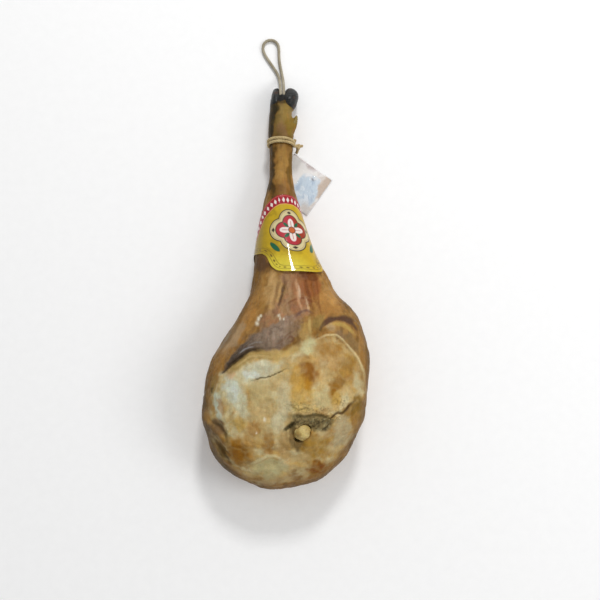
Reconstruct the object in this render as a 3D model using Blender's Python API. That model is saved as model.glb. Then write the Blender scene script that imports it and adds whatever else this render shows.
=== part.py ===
"""A cured ham on the bone, lying on its skin with the flesh side up.

Metres, +Z up. +Y runs along the leg to the toes, and the origin is under the middle of the ham.
"""

import math

import bmesh
import bpy
import numpy as np
from mathutils import Vector, noise

GAP = 0.0003

# Stations along the leg, from the butt to the toes:
# place along the leg, left side, right side, height of the sides, top, underside, squareness.
# An underside below zero is pressed flat on the surface that the ham lies on.
LEG_STATIONS = (
    (-0.3640, -0.0247, -0.0247, 0.050, 0.050, 0.050, 2.0),
    (-0.3527, -0.0629, 0.0448, 0.053, 0.083, 0.022, 2.0),
    (-0.3300, -0.1027, 0.0812, 0.057, 0.109, 0.007, 2.1),
    (-0.2988, -0.1280, 0.1081, 0.060, 0.129, -0.002, 2.2),
    (-0.2677, -0.1368, 0.1235, 0.062, 0.140, -0.005, 2.3),
    (-0.2367, -0.1453, 0.1351, 0.064, 0.147, -0.006, 2.4),
    (-0.1918, -0.1412, 0.1404, 0.066, 0.151, -0.006, 2.4),
    (-0.1432, -0.1294, 0.1460, 0.066, 0.148, -0.005, 2.4),
    (-0.1013, -0.1071, 0.1393, 0.066, 0.140, -0.003, 2.3),
    (-0.0591, -0.0813, 0.1222, 0.064, 0.129, 0.000, 2.2),
    (-0.0270, -0.0659, 0.0901, 0.060, 0.118, 0.003, 2.1),
    (0.0052, -0.0592, 0.0744, 0.057, 0.107, 0.007, 2.1),
    (0.0469, -0.0550, 0.0510, 0.053, 0.096, 0.011, 2.0),
    (0.0925, -0.0495, 0.0347, 0.049, 0.084, 0.014, 2.0),
    (0.1368, -0.0430, 0.0216, 0.045, 0.074, 0.016, 2.0),
    (0.1818, -0.0329, 0.0113, 0.040, 0.064, 0.016, 2.0),
    (0.2270, -0.0305, 0.0104, 0.037, 0.058, 0.015, 2.0),
    (0.2440, -0.0313, 0.0110, 0.036, 0.057, 0.014, 2.0),
    (0.2545, -0.0300, 0.0098, 0.035, 0.054, 0.015, 2.0),
    (0.2670, -0.0332, 0.0126, 0.035, 0.057, 0.011, 2.0),
    (0.2951, -0.0327, 0.0094, 0.033, 0.056, 0.009, 2.0),
    (0.3216, -0.0310, 0.0093, 0.031, 0.052, 0.008, 2.0),
    (0.3390, -0.0285, 0.0110, 0.029, 0.046, 0.009, 2.0),
    (0.3500, -0.0085, -0.0085, 0.027, 0.027, 0.027, 2.0),
)
NARROW_CLAW = (
    (0.3180, -0.0205, -0.0205, 0.026, 0.026, 0.026, 2.0),
    (0.3240, -0.0302, -0.0110, 0.026, 0.041, 0.008, 2.0),
    (0.3370, -0.0302, -0.0115, 0.025, 0.039, 0.002, 2.1),
    (0.3500, -0.0287, -0.0128, 0.021, 0.033, -0.001, 2.2),
    (0.3600, -0.0252, -0.0145, 0.016, 0.025, 0.000, 2.1),
    (0.3640, -0.0190, -0.0190, 0.011, 0.011, 0.011, 2.0),
)
BROAD_CLAW = (
    (0.3130, 0.0050, 0.0050, 0.028, 0.028, 0.028, 2.0),
    (0.3210, -0.0040, 0.0140, 0.028, 0.044, 0.011, 2.0),
    (0.3330, -0.0050, 0.0187, 0.027, 0.044, 0.004, 2.1),
    (0.3440, -0.0030, 0.0205, 0.024, 0.040, -0.001, 2.2),
    (0.3540, -0.0010, 0.0175, 0.020, 0.032, -0.001, 2.2),
    (0.3605, 0.0012, 0.0110, 0.015, 0.023, 0.003, 2.0),
    (0.3625, 0.0050, 0.0050, 0.012, 0.012, 0.012, 2.0),
)
UPPER_DEWCLAW = (
    (0.2690, 0.0060, 0.0060, 0.036, 0.036, 0.036, 2.0),
    (0.2740, -0.0010, 0.0140, 0.036, 0.045, 0.027, 2.0),
    (0.2830, 0.0040, 0.0177, 0.036, 0.045, 0.027, 2.0),
    (0.2930, 0.0085, 0.0194, 0.036, 0.043, 0.029, 2.0),
    (0.3020, 0.0128, 0.0198, 0.035, 0.039, 0.031, 2.0),
    (0.3063, 0.0180, 0.0180, 0.035, 0.035, 0.035, 2.0),
)
LOWER_DEWCLAW = (
    (0.2690, 0.0030, 0.0030, 0.022, 0.022, 0.022, 2.0),
    (0.2740, -0.0040, 0.0120, 0.021, 0.030, 0.011, 2.0),
    (0.2840, 0.0000, 0.0148, 0.019, 0.027, 0.010, 2.0),
    (0.2940, 0.0050, 0.0150, 0.017, 0.023, 0.011, 2.0),
    (0.3000, 0.0105, 0.0105, 0.017, 0.017, 0.017, 2.0),
)
RINGS = 230
RING_POINTS = 260
CLAW_RINGS = 40
CLAW_POINTS = 48

# Relief of the flesh side, seen from above. A sunk muscle shows between these edges.
BARE_MUSCLE = (
    (-0.1093, -0.1625), (-0.0916, -0.1355), (-0.0757, -0.1223), (-0.0570, -0.1022),
    (-0.0366, -0.0890), (-0.0097, -0.0772), (0.0240, -0.0654), (0.0544, -0.0598),
    (0.0578, -0.0683), (0.0442, -0.0874), (0.0273, -0.1095), (0.0023, -0.1214),
    (-0.0293, -0.1248), (-0.0562, -0.1279), (-0.0804, -0.1443), (-0.1021, -0.1592),
)
BARE_MUSCLE_DEPTH = 0.0055
BARE_MUSCLE_EDGE = 0.006
LINE_SPREAD = 1.6
POINTS_PER_BEND = 5
# Each line: its points, its half width, and its height, below zero for a groove.
LINES = {
    "lard lip under the bare muscle": (
        ((-0.1020, -0.1655), (-0.0804, -0.1510), (-0.0562, -0.1370), (-0.0276, -0.1340),
         (0.0023, -0.1305), (0.0290, -0.1190), (0.0475, -0.0960)),
        0.0070, 0.0034,
    ),
    "slit on the right": (
        ((0.0594, -0.0922), (0.0679, -0.0769), (0.0816, -0.0715), (0.0971, -0.0711),
         (0.1113, -0.0756), (0.1221, -0.0853)),
        0.0055, -0.0060,
    ),
    "lip above the right lobe": (
        ((0.0474, -0.1130), (0.0692, -0.1014), (0.0929, -0.1112), (0.1118, -0.1260),
         (0.1242, -0.1443), (0.1333, -0.1625)),
        0.0065, 0.0032,
    ),
    "hollow above the bone": (
        ((0.0108, -0.2300), (0.0305, -0.2390), (0.0569, -0.2400), (0.0835, -0.2370)),
        0.0090, -0.0065,
    ),
    "pocket beside the bone": (
        ((0.0200, -0.2463), (0.0109, -0.2626), (0.0185, -0.2840)),
        0.0090, -0.0065,
    ),
    "crack to the right of the bone": (
        ((0.0701, -0.2400), (0.0851, -0.2288), (0.0969, -0.2290), (0.1072, -0.2192),
         (0.1161, -0.2112), (0.1310, -0.2015)),
        0.0045, -0.0045,
    ),
    "fold low on the left": (
        ((-0.1400, -0.2379), (-0.1180, -0.2562), (-0.0965, -0.2775)),
        0.0060, -0.0040,
    ),
    "ridge across the butt": (
        ((-0.0700, -0.2990), (-0.0350, -0.2900), (-0.0050, -0.2860)),
        0.0080, 0.0022,
    ),
}
# Each mound: its middle, its reach across and along, and its height.
MOUNDS = {
    "right lobe": ((0.0880, -0.1690), (0.0500, 0.0500), 0.0050),
    "left lobe": ((-0.0500, -0.2150), (0.0550, 0.0620), 0.0035),
    "butt": ((-0.0010, -0.3050), (0.0600, 0.0300), 0.0030),
    "low right": ((0.0850, -0.2850), (0.0400, 0.0330), 0.0030),
    "muscle between the shank and the slit": ((0.0350, -0.0250), (0.0260, 0.0500), 0.0030),
    "skin edge beside the left lobe": ((-0.1050, -0.1950), (0.0220, 0.0600), -0.0025),
}
MOUND_SPREAD = 1.2
LUMP_SIZE = 0.055
LUMP_SHARE_OF_WIDTH = 0.008
# The relief starts this share of the half height up round a section, and fades in over the next share.
RELIEF_FROM = 0.02
RELIEF_FADE = 0.22

FUSE_VOXEL = 0.0018
HAM_TRIANGLES = 5600
FLAT_BELOW = 0.0006

# The head of the thigh bone, on its neck.
BONE_CENTRE = (0.0272, -0.2608, 0.1370)
BONE_RADII = (0.0148, 0.0130, 0.0128)
BONE_NECK_RADIUS = 0.0095
BONE_NECK_END = 0.0200
BONE_SIDES = 20
BONE_RINGS = 9
BONE_FIRST_RING = 0.35

# The paper band round the shank: its middle faces FACING degrees to the right of straight up.
# Edges: degrees away from the middle, place of the upper edge, place of the lower edge.
BAND_FACING = 15.0
BAND_EDGES = (
    (0.0, 0.1523, 0.0112),
    (22.0, 0.1508, 0.0113),
    (35.0, 0.1468, 0.0135),
    (42.0, 0.1435, 0.0250),
    (50.0, 0.1390, 0.0400),
    (60.0, 0.1325, 0.0443),
    (80.0, 0.1165, 0.0450),
    (105.0, 0.0830, 0.0451),
    (130.0, 0.0690, 0.0290),
    (180.0, 0.0560, 0.0120),
)
BAND_CLEAR = 0.0012
BAND_THICKNESS = 0.0008
BAND_SIDES = 64
BAND_ROWS = 5
SHANK_READINGS = 400
# Where the band stands off the leg: degrees to the right of straight up, reach in degrees, how far.
BAND_LIFTS = ((-122.0, 26.0, 0.0036), (58.0, 14.0, 0.0022))

TWINE_DIAMETER = 0.0055
TWINE_CLEAR = 0.0007
ANKLE_TURNS = 2
ANKLE_STEP = 0.0059
ANKLE_START = 0.2480
ANKLE_ARCH = 0.0035
ANKLE_FIRST_ANGLE = 2.0
ANKLE_STEPS_PER_TURN = 28
KNOT_PLACE = (0.0205, 0.2478, 0.0350)
KNOT_RADII = (0.0052, 0.0062, 0.0058)
KNOT_LONG_END = ((0.0190, 0.2478, 0.0350), (0.0240, 0.2490, 0.0330), (0.0280, 0.2512, 0.0290))
KNOT_SHORT_END = ((0.0185, 0.2478, 0.0350), (0.0195, 0.2440, 0.0270), (0.0175, 0.2410, 0.0185))
TWINE_SIDES = 12
LOOSE_END_POINTS = 7
TWINE_TRIANGLES = 900
TWINE_VOXEL = 0.0009

# The hanging loop leaves between the claws, falls to the surface and lies there.
LOOP_POINTS = (
    (-0.0115, 0.3420, 0.0372), (-0.0116, 0.3500, 0.0366), (-0.0119, 0.3580, 0.0330),
    (-0.0123, 0.3650, 0.0262), (-0.0128, 0.3715, 0.0180), (-0.0135, 0.3785, 0.0098),
    (-0.0148, 0.3860, 0.0046), (-0.0180, 0.3950, 0.0030), (-0.0232, 0.4040, 0.0029),
    (-0.0292, 0.4130, 0.0029), (-0.0355, 0.4225, 0.0029), (-0.0416, 0.4323, 0.0029),
    (-0.0452, 0.4430, 0.0029), (-0.0437, 0.4535, 0.0029), (-0.0355, 0.4602, 0.0029),
    (-0.0250, 0.4597, 0.0029), (-0.0177, 0.4525, 0.0029), (-0.0156, 0.4425, 0.0029),
    (-0.0154, 0.4323, 0.0029), (-0.0146, 0.4210, 0.0029), (-0.0127, 0.4090, 0.0029),
    (-0.0103, 0.3975, 0.0030), (-0.0083, 0.3868, 0.0046), (-0.0072, 0.3785, 0.0098),
    (-0.0066, 0.3715, 0.0180), (-0.0062, 0.3650, 0.0262), (-0.0059, 0.3580, 0.0330),
    (-0.0057, 0.3500, 0.0366), (-0.0056, 0.3420, 0.0372),
)
LOOP_TUBE_POINTS = 44
HOLE_RADIUS = 0.0034
HOLE_SIDES = 16
HOLE_ENDS = (0.3360, 0.3520)

# The sachet with its leaflet: corners from the tied one, seen from above.
TAG_TIED = (0.0129, 0.2439)
TAG_RIGHT = (0.0851, 0.1942)
TAG_LEFT = (-0.0352, 0.1754)
TAG_THICKNESS = 0.0014
TAG_REST = 0.0010
TAG_LIFT = 0.0120
TAG_BEND = 0.0480
TAG_STEPS = 8

MATERIALS = {
    "ham": ((0.46, 0.30, 0.13), 0.5),
    "femur_head": ((0.62, 0.46, 0.20), 0.45),
    "label_band": ((0.75, 0.58, 0.05), 0.25),
    "ankle_twine": ((0.42, 0.35, 0.22), 0.9),
    "hanging_loop": ((0.40, 0.35, 0.27), 0.9),
    "tag_sachet": ((0.70, 0.66, 0.64), 0.15),
}


def smooth_step(value):
    value = np.clip(value, 0.0, 1.0)
    return value * value * (3.0 - 2.0 * value)


def finish(obj, name):
    """Names the object and gives it a material of its own."""
    obj.name = name
    obj.data.name = name
    colour, roughness = MATERIALS[name]
    material = bpy.data.materials.new(name)
    material.use_nodes = True
    shader = material.node_tree.nodes["Principled BSDF"]
    shader.inputs["Base Color"].default_value = (*colour, 1.0)
    shader.inputs["Roughness"].default_value = roughness
    shader.inputs["Metallic"].default_value = 0.0
    obj.data.materials.clear()
    obj.data.materials.append(material)
    if obj.type == "MESH":
        obj.data.shade_smooth()
    return obj


def new_object(points, faces, name):
    mesh = bpy.data.meshes.new(name)
    mesh.from_pydata([tuple(point) for point in points], [], faces)
    mesh.validate()
    obj = bpy.data.objects.new(name, mesh)
    bpy.context.scene.collection.objects.link(obj)
    bm = bmesh.new()
    bm.from_mesh(mesh)
    bmesh.ops.recalc_face_normals(bm, faces=bm.faces)
    bm.to_mesh(mesh)
    bm.free()
    return obj


def curve_through(points, count):
    """Points evenly spaced by number on a smooth curve through the given ones."""
    points = np.asarray(points, float)
    before = 2 * points[0] - points[1]
    after = 2 * points[-1] - points[-2]
    return catmull_rom(np.vstack([before, points, after]), count)


def catmull_rom(points, count):
    """Reads a smooth curve from the second point to the last but one."""
    steps = np.linspace(0, len(points) - 3, count)
    first = np.minimum(steps.astype(int), len(points) - 4)
    t = (steps - first)[:, None]
    p0, p1, p2, p3 = (points[first + k] for k in range(4))
    return 0.5 * (
        2 * p1
        + (p2 - p0) * t
        + (2 * p0 - 5 * p1 + 4 * p2 - p3) * t**2
        + (3 * p1 - p0 - 3 * p2 + p3) * t**3
    )


def turned_over(station):
    """The same station seen beyond a closed end: its sides and its top and underside swap."""
    place, left, right, side, top, under, square = station
    return (place, right, left, side, under, top, square)


def sections(stations, count):
    """Smooth stations between the given ones, round at both closed ends."""
    ends = [turned_over(stations[1]), *stations, turned_over(stations[-2])]
    return catmull_rom(np.array(ends, float), count)


def section_points(section, angles):
    """Points round one section. An angle of 90 degrees is straight up."""
    place, left, right, side, top, under, square = section
    across, up = np.cos(angles), np.sin(angles)
    x = (left + right) / 2 + (right - left) / 2 * np.sign(across) * np.abs(across) ** (2 / square)
    reach = np.where(up > 0, top - side, side - under)
    z = side + reach * np.sign(up) * np.abs(up) ** (2 / square)
    return np.stack([x, np.full_like(x, place), z], axis=1)


def distance_to_line(flat, line):
    """The distance of each point, seen from above, to a line of points."""
    best = np.full(len(flat), np.inf)
    for start, end in zip(np.array(line[:-1]), np.array(line[1:])):
        along = end - start
        share = np.clip(((flat - start) @ along) / (along @ along), 0, 1)
        best = np.minimum(best, np.linalg.norm(flat - start - share[:, None] * along, axis=1))
    return best


def inside(flat, outline):
    """True for each point that lies in the outline, seen from above."""
    found = np.zeros(len(flat), bool)
    for (x1, y1), (x2, y2) in zip(outline, outline[1:] + outline[:1]):
        crosses = (y1 > flat[:, 1]) != (y2 > flat[:, 1])
        height = np.where(y2 == y1, 1.0, y2 - y1)
        found ^= crosses & (flat[:, 0] < (x2 - x1) * (flat[:, 1] - y1) / height + x1)
    return found


def relief(points):
    """How far the flesh side stands out at each point."""
    flat = points[:, :2]
    edge = distance_to_line(flat, BARE_MUSCLE + BARE_MUSCLE[:1])
    sunk = smooth_step(np.where(inside(flat, BARE_MUSCLE), edge, 0.0) / BARE_MUSCLE_EDGE)
    height = -BARE_MUSCLE_DEPTH * sunk
    for line, half_width, rise in LINES.values():
        line = curve_through(line, POINTS_PER_BEND * len(line))
        height += rise * smooth_step(1 - distance_to_line(flat, line) / (LINE_SPREAD * half_width))
    for middle, reach, rise in MOUNDS.values():
        away = np.linalg.norm((flat - np.array(middle)) / np.array(reach), axis=1)
        height += rise * smooth_step(MOUND_SPREAD - away)
    return height


def lumps(points):
    return np.array([noise.noise(Vector(point) / LUMP_SIZE) for point in points])


def grid_normals(grid):
    """Normals of a grid of rings, pointing out."""
    along = np.gradient(grid, axis=0)
    wrapped = np.concatenate([grid[:, -1:], grid, grid[:, :1]], axis=1)
    around = (wrapped[:, 2:] - wrapped[:, :-2]) / 2
    normal = np.cross(around, along)
    return normal / np.maximum(np.linalg.norm(normal, axis=2, keepdims=True), 1e-9)


def ring_faces(rings, sides):
    """Faces between rings of points, with a face on each end ring."""
    faces = []
    for ring in range(rings - 1):
        for side in range(sides):
            after = (side + 1) % sides
            low, high = ring * sides, (ring + 1) * sides
            faces.append((low + side, low + after, high + after, high + side))
    faces.append(tuple(range(sides)))
    faces.append(tuple(range((rings - 1) * sides, rings * sides)))
    return faces


def loft(stations, rings, sides, name, relief_at=None):
    """A closed solid through the stations."""
    angles = np.linspace(0, 2 * math.pi, sides, endpoint=False)
    smooth = sections(stations, rings + 2)[1:-1]
    grid = np.array([section_points(section, angles) for section in smooth])
    if relief_at:
        normal = grid_normals(grid)
        flat = grid.reshape(-1, 3)
        faces_up = smooth_step((np.sin(angles) - RELIEF_FROM) / RELIEF_FADE)
        height = relief_at(flat).reshape(rings, sides) * faces_up
        widths = smooth[:, 2:3] - smooth[:, 1:2]
        height += lumps(flat).reshape(rings, sides) * LUMP_SHARE_OF_WIDTH * widths
        grid = grid + normal * height[:, :, None]
    return new_object(grid.reshape(-1, 3), ring_faces(rings, sides), name)


def fused(parts, voxel, triangles, name):
    """One closed solid out of overlapping ones, with few triangles where it is smooth."""
    joined = bmesh.new()
    for part in parts:
        joined.from_mesh(part.data)
    mesh = bpy.data.meshes.new(name)
    joined.to_mesh(mesh)
    joined.free()
    for part in parts:
        bpy.data.objects.remove(part)
    rough = bpy.data.objects.new(name + "_rough", mesh)
    bpy.context.scene.collection.objects.link(rough)
    remesh = rough.modifiers.new("Fuse", "REMESH")
    remesh.mode = "VOXEL"
    remesh.voxel_size = voxel
    soften = rough.modifiers.new("Soften", "SMOOTH")
    soften.factor = 0.5
    soften.iterations = 3
    fine = evaluated_mesh(rough)
    reduce = rough.modifiers.new("Reduce", "DECIMATE")
    reduce.ratio = triangles / (2 * len(fine.polygons))
    bpy.data.meshes.remove(fine)
    reduced = evaluated_mesh(rough)
    bpy.data.objects.remove(rough)
    obj = bpy.data.objects.new(name, reduced)
    bpy.context.scene.collection.objects.link(obj)
    return obj


def evaluated_mesh(obj):
    graph = bpy.context.evaluated_depsgraph_get()
    graph.update()
    return bpy.data.meshes.new_from_object(obj.evaluated_get(graph))


def tube(path, radius, sides, name):
    """A closed round tube along the points."""
    path = [Vector(point) for point in path]
    rings = []
    across = None
    for index, point in enumerate(path):
        along = path[min(index + 1, len(path) - 1)] - path[max(index - 1, 0)]
        along.normalize()
        if across is None:
            across = along.orthogonal()
        across = (across - along * across.dot(along)).normalized()
        up = along.cross(across)
        for side in range(sides):
            angle = 2 * math.pi * side / sides
            rings.append(point + radius * (math.cos(angle) * across + math.sin(angle) * up))
    return new_object(rings, ring_faces(len(path), sides), name)


def ball(centre, radii, name):
    bm = bmesh.new()
    bmesh.ops.create_icosphere(bm, subdivisions=3, radius=1.0)
    for vert in bm.verts:
        vert.co = Vector(centre) + Vector([a * b for a, b in zip(vert.co, radii)])
    mesh = bpy.data.meshes.new(name)
    bm.to_mesh(mesh)
    bm.free()
    obj = bpy.data.objects.new(name, mesh)
    bpy.context.scene.collection.objects.link(obj)
    return obj


def bone_shape(grown, name):
    """The bone's head and neck, made larger all round by grown."""
    grid = []
    for ring in range(BONE_RINGS):
        down = math.pi * (ring + BONE_FIRST_RING) / BONE_RINGS
        radius = math.sin(down)
        height = math.cos(down)
        if height < 0:
            radius = max(radius, BONE_NECK_RADIUS / BONE_RADII[0])
        grid.append((radius, height))
    bottom = BONE_NECK_END / BONE_RADII[2]
    grid[-1] = (BONE_NECK_RADIUS / BONE_RADII[0], -bottom)
    points = []
    for radius, height in grid:
        for side in range(BONE_SIDES):
            angle = 2 * math.pi * side / BONE_SIDES
            points.append(
                (
                    BONE_CENTRE[0] + (BONE_RADII[0] + grown) * radius * math.cos(angle),
                    BONE_CENTRE[1] + (BONE_RADII[1] + grown) * radius * math.sin(angle),
                    BONE_CENTRE[2] + (BONE_RADII[2] + grown) * height,
                )
            )
    return new_object(points, ring_faces(BONE_RINGS, BONE_SIDES), name)


def cut_from(obj, cutter):
    cutter.hide_render = True
    cutter.display_type = "WIRE"
    cut = obj.modifiers.new(cutter.name, "BOOLEAN")
    cut.operation = "DIFFERENCE"
    cut.object = cutter


def cord_hole(index, name):
    """The hole that one leg of the hanging loop goes into."""
    x, _, z = LOOP_POINTS[index]
    ends = [(x, place, z) for place in HOLE_ENDS]
    return tube(ends, HOLE_RADIUS, HOLE_SIDES, name)


def make_ham():
    parts = [loft(LEG_STATIONS, RINGS, RING_POINTS, "leg", relief)]
    for claw in (NARROW_CLAW, BROAD_CLAW, UPPER_DEWCLAW, LOWER_DEWCLAW):
        parts.append(loft(claw, CLAW_RINGS, CLAW_POINTS, "claw"))
    ham = fused(parts, FUSE_VOXEL, HAM_TRIANGLES, "ham")
    for vert in ham.data.vertices:
        if vert.co.z < FLAT_BELOW:
            vert.co.z = 0.0
    cut_from(ham, bone_shape(GAP, "bone_socket"))
    cut_from(ham, cord_hole(0, "cord_hole_left"))
    cut_from(ham, cord_hole(-1, "cord_hole_right"))
    return finish(ham, "ham")


def make_femur_head():
    return finish(bone_shape(0.0, "femur_head"), "femur_head")


def leg_section(place, grown):
    """The leg's section at a place along the shank, made larger by grown."""
    smooth = sections(LEG_STATIONS, SHANK_READINGS)
    section = [np.interp(place, smooth[:, 0], smooth[:, column]) for column in range(7)]
    section[0] = place
    section[1] -= grown
    section[2] += grown
    section[4] += grown
    section[5] -= grown
    return section


def band_point(angle, row, depth):
    """A point on the band: angle in degrees, row from 0 at the upper edge to 1, depth outwards."""
    facing = 90.0 - angle
    away = abs((facing - BAND_FACING + 180.0) % 360.0 - 180.0)
    degrees, upper, lower = zip(*BAND_EDGES)
    high = np.interp(away, degrees, upper)
    low = np.interp(away, degrees, lower)
    stand_off = 0.0
    for middle, reach, far in BAND_LIFTS:
        near = (facing - middle + 180.0) % 360.0 - 180.0
        stand_off += far * row * math.exp(-((near / reach) ** 2))
    section = leg_section(high + (low - high) * row, BAND_CLEAR + stand_off + depth)
    return section_points(section, np.array([math.radians(angle)]))[0]


def make_label_band():
    """A closed paper band: rows down the outside and back up the inside, joined round the leg."""
    rows = [(row / BAND_ROWS, BAND_THICKNESS) for row in range(BAND_ROWS + 1)]
    rows += [(row / BAND_ROWS, 0.0) for row in range(BAND_ROWS, -1, -1)]
    points = []
    for side in range(BAND_SIDES):
        angle = 360.0 * side / BAND_SIDES
        points += [band_point(angle, row, depth) for row, depth in rows]
    faces = []
    count = len(rows)
    for side in range(BAND_SIDES):
        near, far = side * count, (side + 1) % BAND_SIDES * count
        for index in range(count):
            after = (index + 1) % count
            faces.append((near + index, near + after, far + after, far + index))
    return finish(new_object(points, faces, "label_band"), "label_band")


def ankle_path():
    """Turns round the ankle, higher along the leg in the middle of the top side."""
    path = []
    steps = ANKLE_STEPS_PER_TURN * ANKLE_TURNS
    for step in range(steps + 1):
        turn = step / ANKLE_STEPS_PER_TURN
        angle = math.radians(ANKLE_FIRST_ANGLE) + 2 * math.pi * turn
        place = ANKLE_START + ANKLE_STEP * turn + ANKLE_ARCH * math.sin(angle)
        section = leg_section(place, TWINE_DIAMETER / 2 + TWINE_CLEAR)
        path.append(section_points(section, np.array([angle]))[0])
    return path


def make_ankle_twine():
    radius = TWINE_DIAMETER / 2
    parts = [tube(ankle_path(), radius, TWINE_SIDES, "turns")]
    for end in (KNOT_LONG_END, KNOT_SHORT_END):
        parts.append(tube(curve_through(end, LOOSE_END_POINTS), radius, TWINE_SIDES, "loose_end"))
    parts.append(ball(KNOT_PLACE, KNOT_RADII, "knot"))
    return finish(fused(parts, TWINE_VOXEL, TWINE_TRIANGLES, "ankle_twine"), "ankle_twine")


def make_hanging_loop():
    curve = bpy.data.curves.new("hanging_loop", "CURVE")
    curve.dimensions = "3D"
    curve.bevel_depth = TWINE_DIAMETER / 2
    curve.bevel_resolution = 2
    curve.use_fill_caps = True
    line = curve.splines.new("POLY")
    path = curve_through(LOOP_POINTS, LOOP_TUBE_POINTS)
    line.points.add(len(path) - 1)
    for point, place in zip(line.points, path):
        point.co = (*place, 1.0)
    obj = bpy.data.objects.new("hanging_loop", curve)
    bpy.context.scene.collection.objects.link(obj)
    return finish(obj, "hanging_loop")


def make_tag_sachet():
    """A flat sachet whose tied corner curls up towards the knot."""
    tied, right, left = (np.array(corner) for corner in (TAG_TIED, TAG_RIGHT, TAG_LEFT))
    diagonal = (right + left - 2 * tied) / np.linalg.norm(right + left - 2 * tied)
    points = []
    for top in (0.0, TAG_THICKNESS):
        for row in range(TAG_STEPS + 1):
            for column in range(TAG_STEPS + 1):
                flat = tied + (right - tied) * column / TAG_STEPS + (left - tied) * row / TAG_STEPS
                along = (flat - tied) @ diagonal
                lift = TAG_LIFT * max(0.0, 1 - along / TAG_BEND) ** 2
                points.append((*flat, TAG_REST + lift + top))
    across = TAG_STEPS + 1
    upper = across * across
    faces = []
    for row in range(TAG_STEPS):
        for column in range(TAG_STEPS):
            corner = row * across + column
            quad = (corner, corner + 1, corner + across + 1, corner + across)
            faces.append(quad)
            faces.append(tuple(index + upper for index in reversed(quad)))
    rim = list(range(TAG_STEPS))
    rim += [row * across + TAG_STEPS for row in range(TAG_STEPS)]
    rim += [TAG_STEPS * across + column for column in range(TAG_STEPS, 0, -1)]
    rim += [row * across for row in range(TAG_STEPS, 0, -1)]
    for index, corner in enumerate(rim):
        after = rim[(index + 1) % len(rim)]
        faces.append((corner, after, after + upper, corner + upper))
    return finish(new_object(points, faces, "tag_sachet"), "tag_sachet")


def main():
    for obj in list(bpy.data.objects):
        bpy.data.objects.remove(obj)
    make_ham()
    make_femur_head()
    make_label_band()
    make_ankle_twine()
    make_hanging_loop()
    make_tag_sachet()


main()
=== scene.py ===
"""The looks of a cured ham on the bone: rind, flesh, horn, bone, twine, paper band and sachet.

Metres, +Z up, +Y along the leg to the toes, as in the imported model.
Places on the flesh side are given as they lie in the photo, in its pixels, and laid on the surface.
"""

import itertools
import math

import bmesh
import bpy
import numpy as np
from mathutils import Matrix, Vector


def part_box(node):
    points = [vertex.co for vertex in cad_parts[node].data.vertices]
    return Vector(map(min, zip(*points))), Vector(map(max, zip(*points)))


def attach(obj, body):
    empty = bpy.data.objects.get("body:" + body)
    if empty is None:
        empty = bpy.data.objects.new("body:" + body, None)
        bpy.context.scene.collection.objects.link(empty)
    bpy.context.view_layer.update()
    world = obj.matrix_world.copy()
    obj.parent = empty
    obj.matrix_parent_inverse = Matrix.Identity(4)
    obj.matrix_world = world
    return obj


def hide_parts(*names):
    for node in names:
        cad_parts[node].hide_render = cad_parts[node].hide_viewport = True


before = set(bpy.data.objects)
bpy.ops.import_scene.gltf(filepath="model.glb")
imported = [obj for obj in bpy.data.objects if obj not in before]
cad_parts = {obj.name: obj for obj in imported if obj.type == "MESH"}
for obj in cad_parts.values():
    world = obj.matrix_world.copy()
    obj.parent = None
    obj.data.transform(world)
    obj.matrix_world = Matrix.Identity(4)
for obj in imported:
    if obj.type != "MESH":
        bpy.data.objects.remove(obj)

# The photo's view: 600 pixels across, and one pixel covers this much of the ham's face.
PHOTO_PIXELS = 600
PIXEL = 0.00175
CAMERA_PLACE = np.array((0.0240, -0.1749, 1.6000))
CAMERA_TARGET = np.array((0.0240, -0.0350, 0.0700))
SENSOR = 36.0

# The outer shape, at stations along the leg from the butt to the toes:
# place along the leg, left side, right side, height of the sides, top, underside, squareness.
SHANK_STATIONS = (
    (-0.0270, -0.0659, 0.0901, 0.060, 0.118, 0.003, 2.1),
    (0.0052, -0.0592, 0.0744, 0.057, 0.107, 0.007, 2.1),
    (0.0469, -0.0550, 0.0510, 0.053, 0.096, 0.011, 2.0),
    (0.0925, -0.0495, 0.0347, 0.049, 0.084, 0.014, 2.0),
    (0.1368, -0.0430, 0.0216, 0.045, 0.074, 0.016, 2.0),
    (0.1818, -0.0329, 0.0113, 0.040, 0.064, 0.016, 2.0),
    (0.2270, -0.0305, 0.0104, 0.037, 0.058, 0.015, 2.0),
    (0.2440, -0.0313, 0.0110, 0.036, 0.057, 0.014, 2.0),
    (0.2545, -0.0300, 0.0098, 0.035, 0.054, 0.015, 2.0),
    (0.2670, -0.0332, 0.0126, 0.035, 0.057, 0.011, 2.0),
    (0.2951, -0.0327, 0.0094, 0.033, 0.056, 0.009, 2.0),
)
NARROW_CLAW = (
    (0.3160, -0.0205, -0.0205, 0.028, 0.028, 0.028, 2.0),
    (0.3230, -0.0300, -0.0095, 0.027, 0.046, 0.008, 2.0),
    (0.3330, -0.0298, -0.0098, 0.026, 0.0475, 0.002, 2.1),
    (0.3430, -0.0285, -0.0105, 0.024, 0.0425, 0.000, 2.2),
    (0.3520, -0.0268, -0.0115, 0.020, 0.0345, 0.000, 2.2),
    (0.3605, -0.0242, -0.0138, 0.015, 0.024, 0.001, 2.1),
    (0.3636, -0.0190, -0.0190, 0.011, 0.011, 0.011, 2.0),
)
BROAD_CLAW = (
    (0.3130, 0.0030, 0.0030, 0.030, 0.030, 0.030, 2.0),
    (0.3220, -0.0085, 0.0140, 0.028, 0.046, 0.010, 2.0),
    (0.3330, -0.0085, 0.0182, 0.027, 0.050, 0.004, 2.1),
    (0.3430, -0.0070, 0.0205, 0.025, 0.0455, 0.000, 2.1),
    (0.3530, -0.0045, 0.0190, 0.020, 0.0365, 0.000, 2.1),
    (0.3605, 0.0000, 0.0125, 0.015, 0.026, 0.002, 2.0),
    (0.3630, 0.0050, 0.0050, 0.012, 0.012, 0.012, 2.0),
)
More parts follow.
